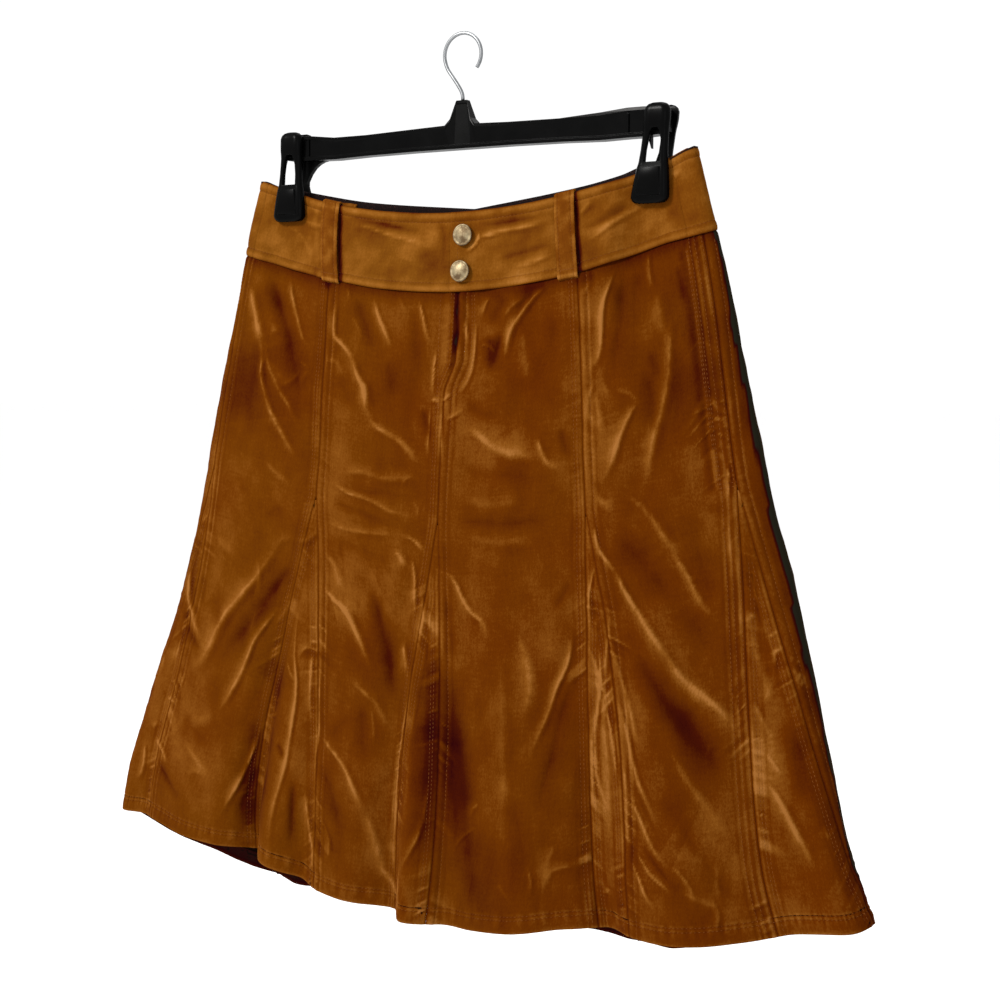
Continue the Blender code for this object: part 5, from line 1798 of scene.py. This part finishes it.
# One side of a clip: a rounded cap, two struts with a window between them, and a pad.
def buildJaw(node, middle, facingSide):
    count = len(jawRows) - 1
    bm = bmesh.new()
    bmesh.ops.create_grid(bm, x_segments=7, y_segments=count, size=0.5)
    made = bmesh.ops.extrude_face_region(bm, geom=list(bm.faces), use_keep_orig=True)
    inner = {item for item in made["geom"] if isinstance(item, bmesh.types.BMVert)}
    wide = jaw["rearWindow"] if facingSide > 0 else 1.0
    spots = {}
    for vert in bm.verts:
        row = count - round((vert.co.y + 0.5) * count)
        column = round((vert.co.x + 0.5) * 7)
        spots[vert] = (row, column)
        line = jawRows[row]
        edge = line.half - jaw["edge"]
        x = (-line.half, -edge, -(edge + line.window) / 2, -line.window,
             line.window * wide, (edge + line.window * wide) / 2, edge, line.half)[column]
        if facingSide > 0 and column < 5:
            x += jaw["rearShift"] * (1, 0.9, 0.8, 0.72, 0.22)[column] * jaw["rearRows"].get(row, 0)
        if facingSide > 0 and column > 4:
            x -= jaw["rearSlim"] * ramp((-74.0 - line.z) / 36.0) * (1 if row < 13 else 0.5)
        shift, further = jaw["lean"][middle > 0]
        x += shift + further * ramp((-76.0 - line.z) / 60.0)
        swell = (0.45, 0.86, 1.0, 0.97, 0.97, 1.0, 0.86, 0.45)[column]
        y = facingSide * (jaw["inner"] + line.inset + (0 if vert in inner else line.thick * swell))
        vert.co = Vector((middle + x, y, line.z)) * mm
    hollow, panels = [], []
    for face in bm.faces:
        places = [spots[vert] for vert in face.verts]
        rows, columns = [row for row, column in places], [column for row, column in places]
        if min(columns) != 3 or max(columns) != 4 or min(rows) == max(rows):
            continue
        if jaw["windowRows"][0] <= min(rows) and max(rows) <= jaw["windowRows"][1]:
            hollow.append(face)
        elif jaw["padRows"][0] <= min(rows) and max(rows) <= jaw["padRows"][1]:
            panels.append(face)
    outer = [face for face in panels if not any(vert in inner for vert in face.verts)]
    bmesh.ops.inset_region(bm, faces=outer, thickness=0.9 * mm, depth=0.0)
    lifted = {vert for face in outer for vert in face.verts}
    bmesh.ops.translate(bm, vec=(0, facingSide * jaw["padRise"] * mm, 0), verts=list(lifted))
    bmesh.ops.delete(bm, geom=hollow, context="FACES_ONLY")
    bmesh.ops.bridge_loops(bm, edges=[edge for edge in bm.edges if edge.is_boundary])
    bmesh.ops.recalc_face_normals(bm, faces=bm.faces)
    piece = addPiece(meshOf(bm, node + "_moulding"), node + "_moulding", plastic, [node])
    softened(piece, hanger["jawBevel"], 40)
    return piece


buildBar()
buildHook()
jaws = []
for side, middle in (("left", cut["clipLeft"]), ("right", cut["clipRight"])):
    for place, facingSide in (("front", -1), ("back", 1)):
        jaws.append(buildJaw("clip_" + side + "_" + place, middle, facingSide))
print("hanger made")


# The cut of each panel, printed in order: waistband, gores, godets, belt loops, then the facing.
clipNames = [piece.name for piece in jaws]
bandNames = [node + "_cloth" for node in hangsFrom if node.startswith("waistband")]
goreNames = [node + "_cloth" for node in hangsFrom if node.startswith("gore")]
hungFrom = (("waistband", clipNames), ("gore", bandNames), ("godet", goreNames), ("belt", bandNames))
for kind, names in hungFrom:
    for node, (piece, points, stitches) in hangsFrom.items():
        if node.startswith(kind):
            sheetFor(piece, points)
sheetFor(facingPiece, facingPoints)


studio = {
    "floorSize": 30.0,
    "floorLevel": -1.1,
    "lens": 63.0,
    "turn": 30.0,              # degrees by which the camera stands to the skirt's right end, and above it
    "tilt": 4.35,
    "eye": (0.73463, -1.21322, -0.26367),
    "sky": 1.08,
}


def addFloor():
    bm = bmesh.new()
    bmesh.ops.create_grid(bm, x_segments=1, y_segments=1, size=studio["floorSize"])
    mesh = meshOf(bm, "floor")
    mesh.transform(Matrix.Translation((0, 0, studio["floorLevel"])))
    settings = {"Roughness": 0.9, "Specular IOR Level": 0.05, "Base Color": (0.96, 0.96, 0.96, 1)}
    mesh.materials.append(blankMaterial("pale_floor", settings)[0])
    floor = bpy.data.objects.new("floor", mesh)
    bpy.context.scene.collection.objects.link(floor)
    return floor


addFloor()

cameraData = bpy.data.cameras.new("camera")
cameraData.lens = studio["lens"]
cameraData.sensor_width = 36.0
cameraData.clip_end = 200.0
camera = bpy.data.objects.new("camera", cameraData)
turn, tilt = radians(studio["turn"]), radians(studio["tilt"])
right = Vector((cos(turn), sin(turn), 0))
back = Vector((sin(turn) * cos(tilt), -cos(turn) * cos(tilt), sin(tilt)))
up = back.cross(right)
axes = Matrix((right, up, back)).transposed()
camera.matrix_world = Matrix.Translation(studio["eye"]) @ axes.to_4x4()
bpy.context.scene.collection.objects.link(camera)
bpy.context.scene.camera = camera


def addLight(name, place, target, size, power, colour):
    data = bpy.data.lights.new(name, "AREA")
    data.shape = "DISK"
    data.size = size
    data.energy = power
    data.color = colour
    lamp = bpy.data.objects.new(name, data)
    aim = (Vector(target) - Vector(place)).to_track_quat("-Z", "Y")
    lamp.matrix_world = Matrix.Translation(place) @ aim.to_matrix().to_4x4()
    bpy.context.scene.collection.objects.link(lamp)


addLight("key", (-1.0, -2.0, 1.2), (0, 0, -0.4), 0.7, 95, (1.0, 0.98, 0.95))
addLight("fill", (1.8, -2.2, 0.2), (0, 0, -0.4), 1.6, 8, (0.97, 0.98, 1.0))
addLight("top", (0.1, 0.3, 1.9), (0, 0, -0.3), 1.4, 14, (1.0, 1.0, 1.0))
world = bpy.data.worlds.new("studio")
world.use_nodes = True
sky = world.node_tree.nodes["Background"]
sky.inputs["Color"].default_value = (0.97, 0.97, 0.97, 1)
sky.inputs["Strength"].default_value = studio["sky"]
bpy.context.scene.world = world
bpy.context.scene.view_settings.view_transform = "Standard"
print("camera and light placed")
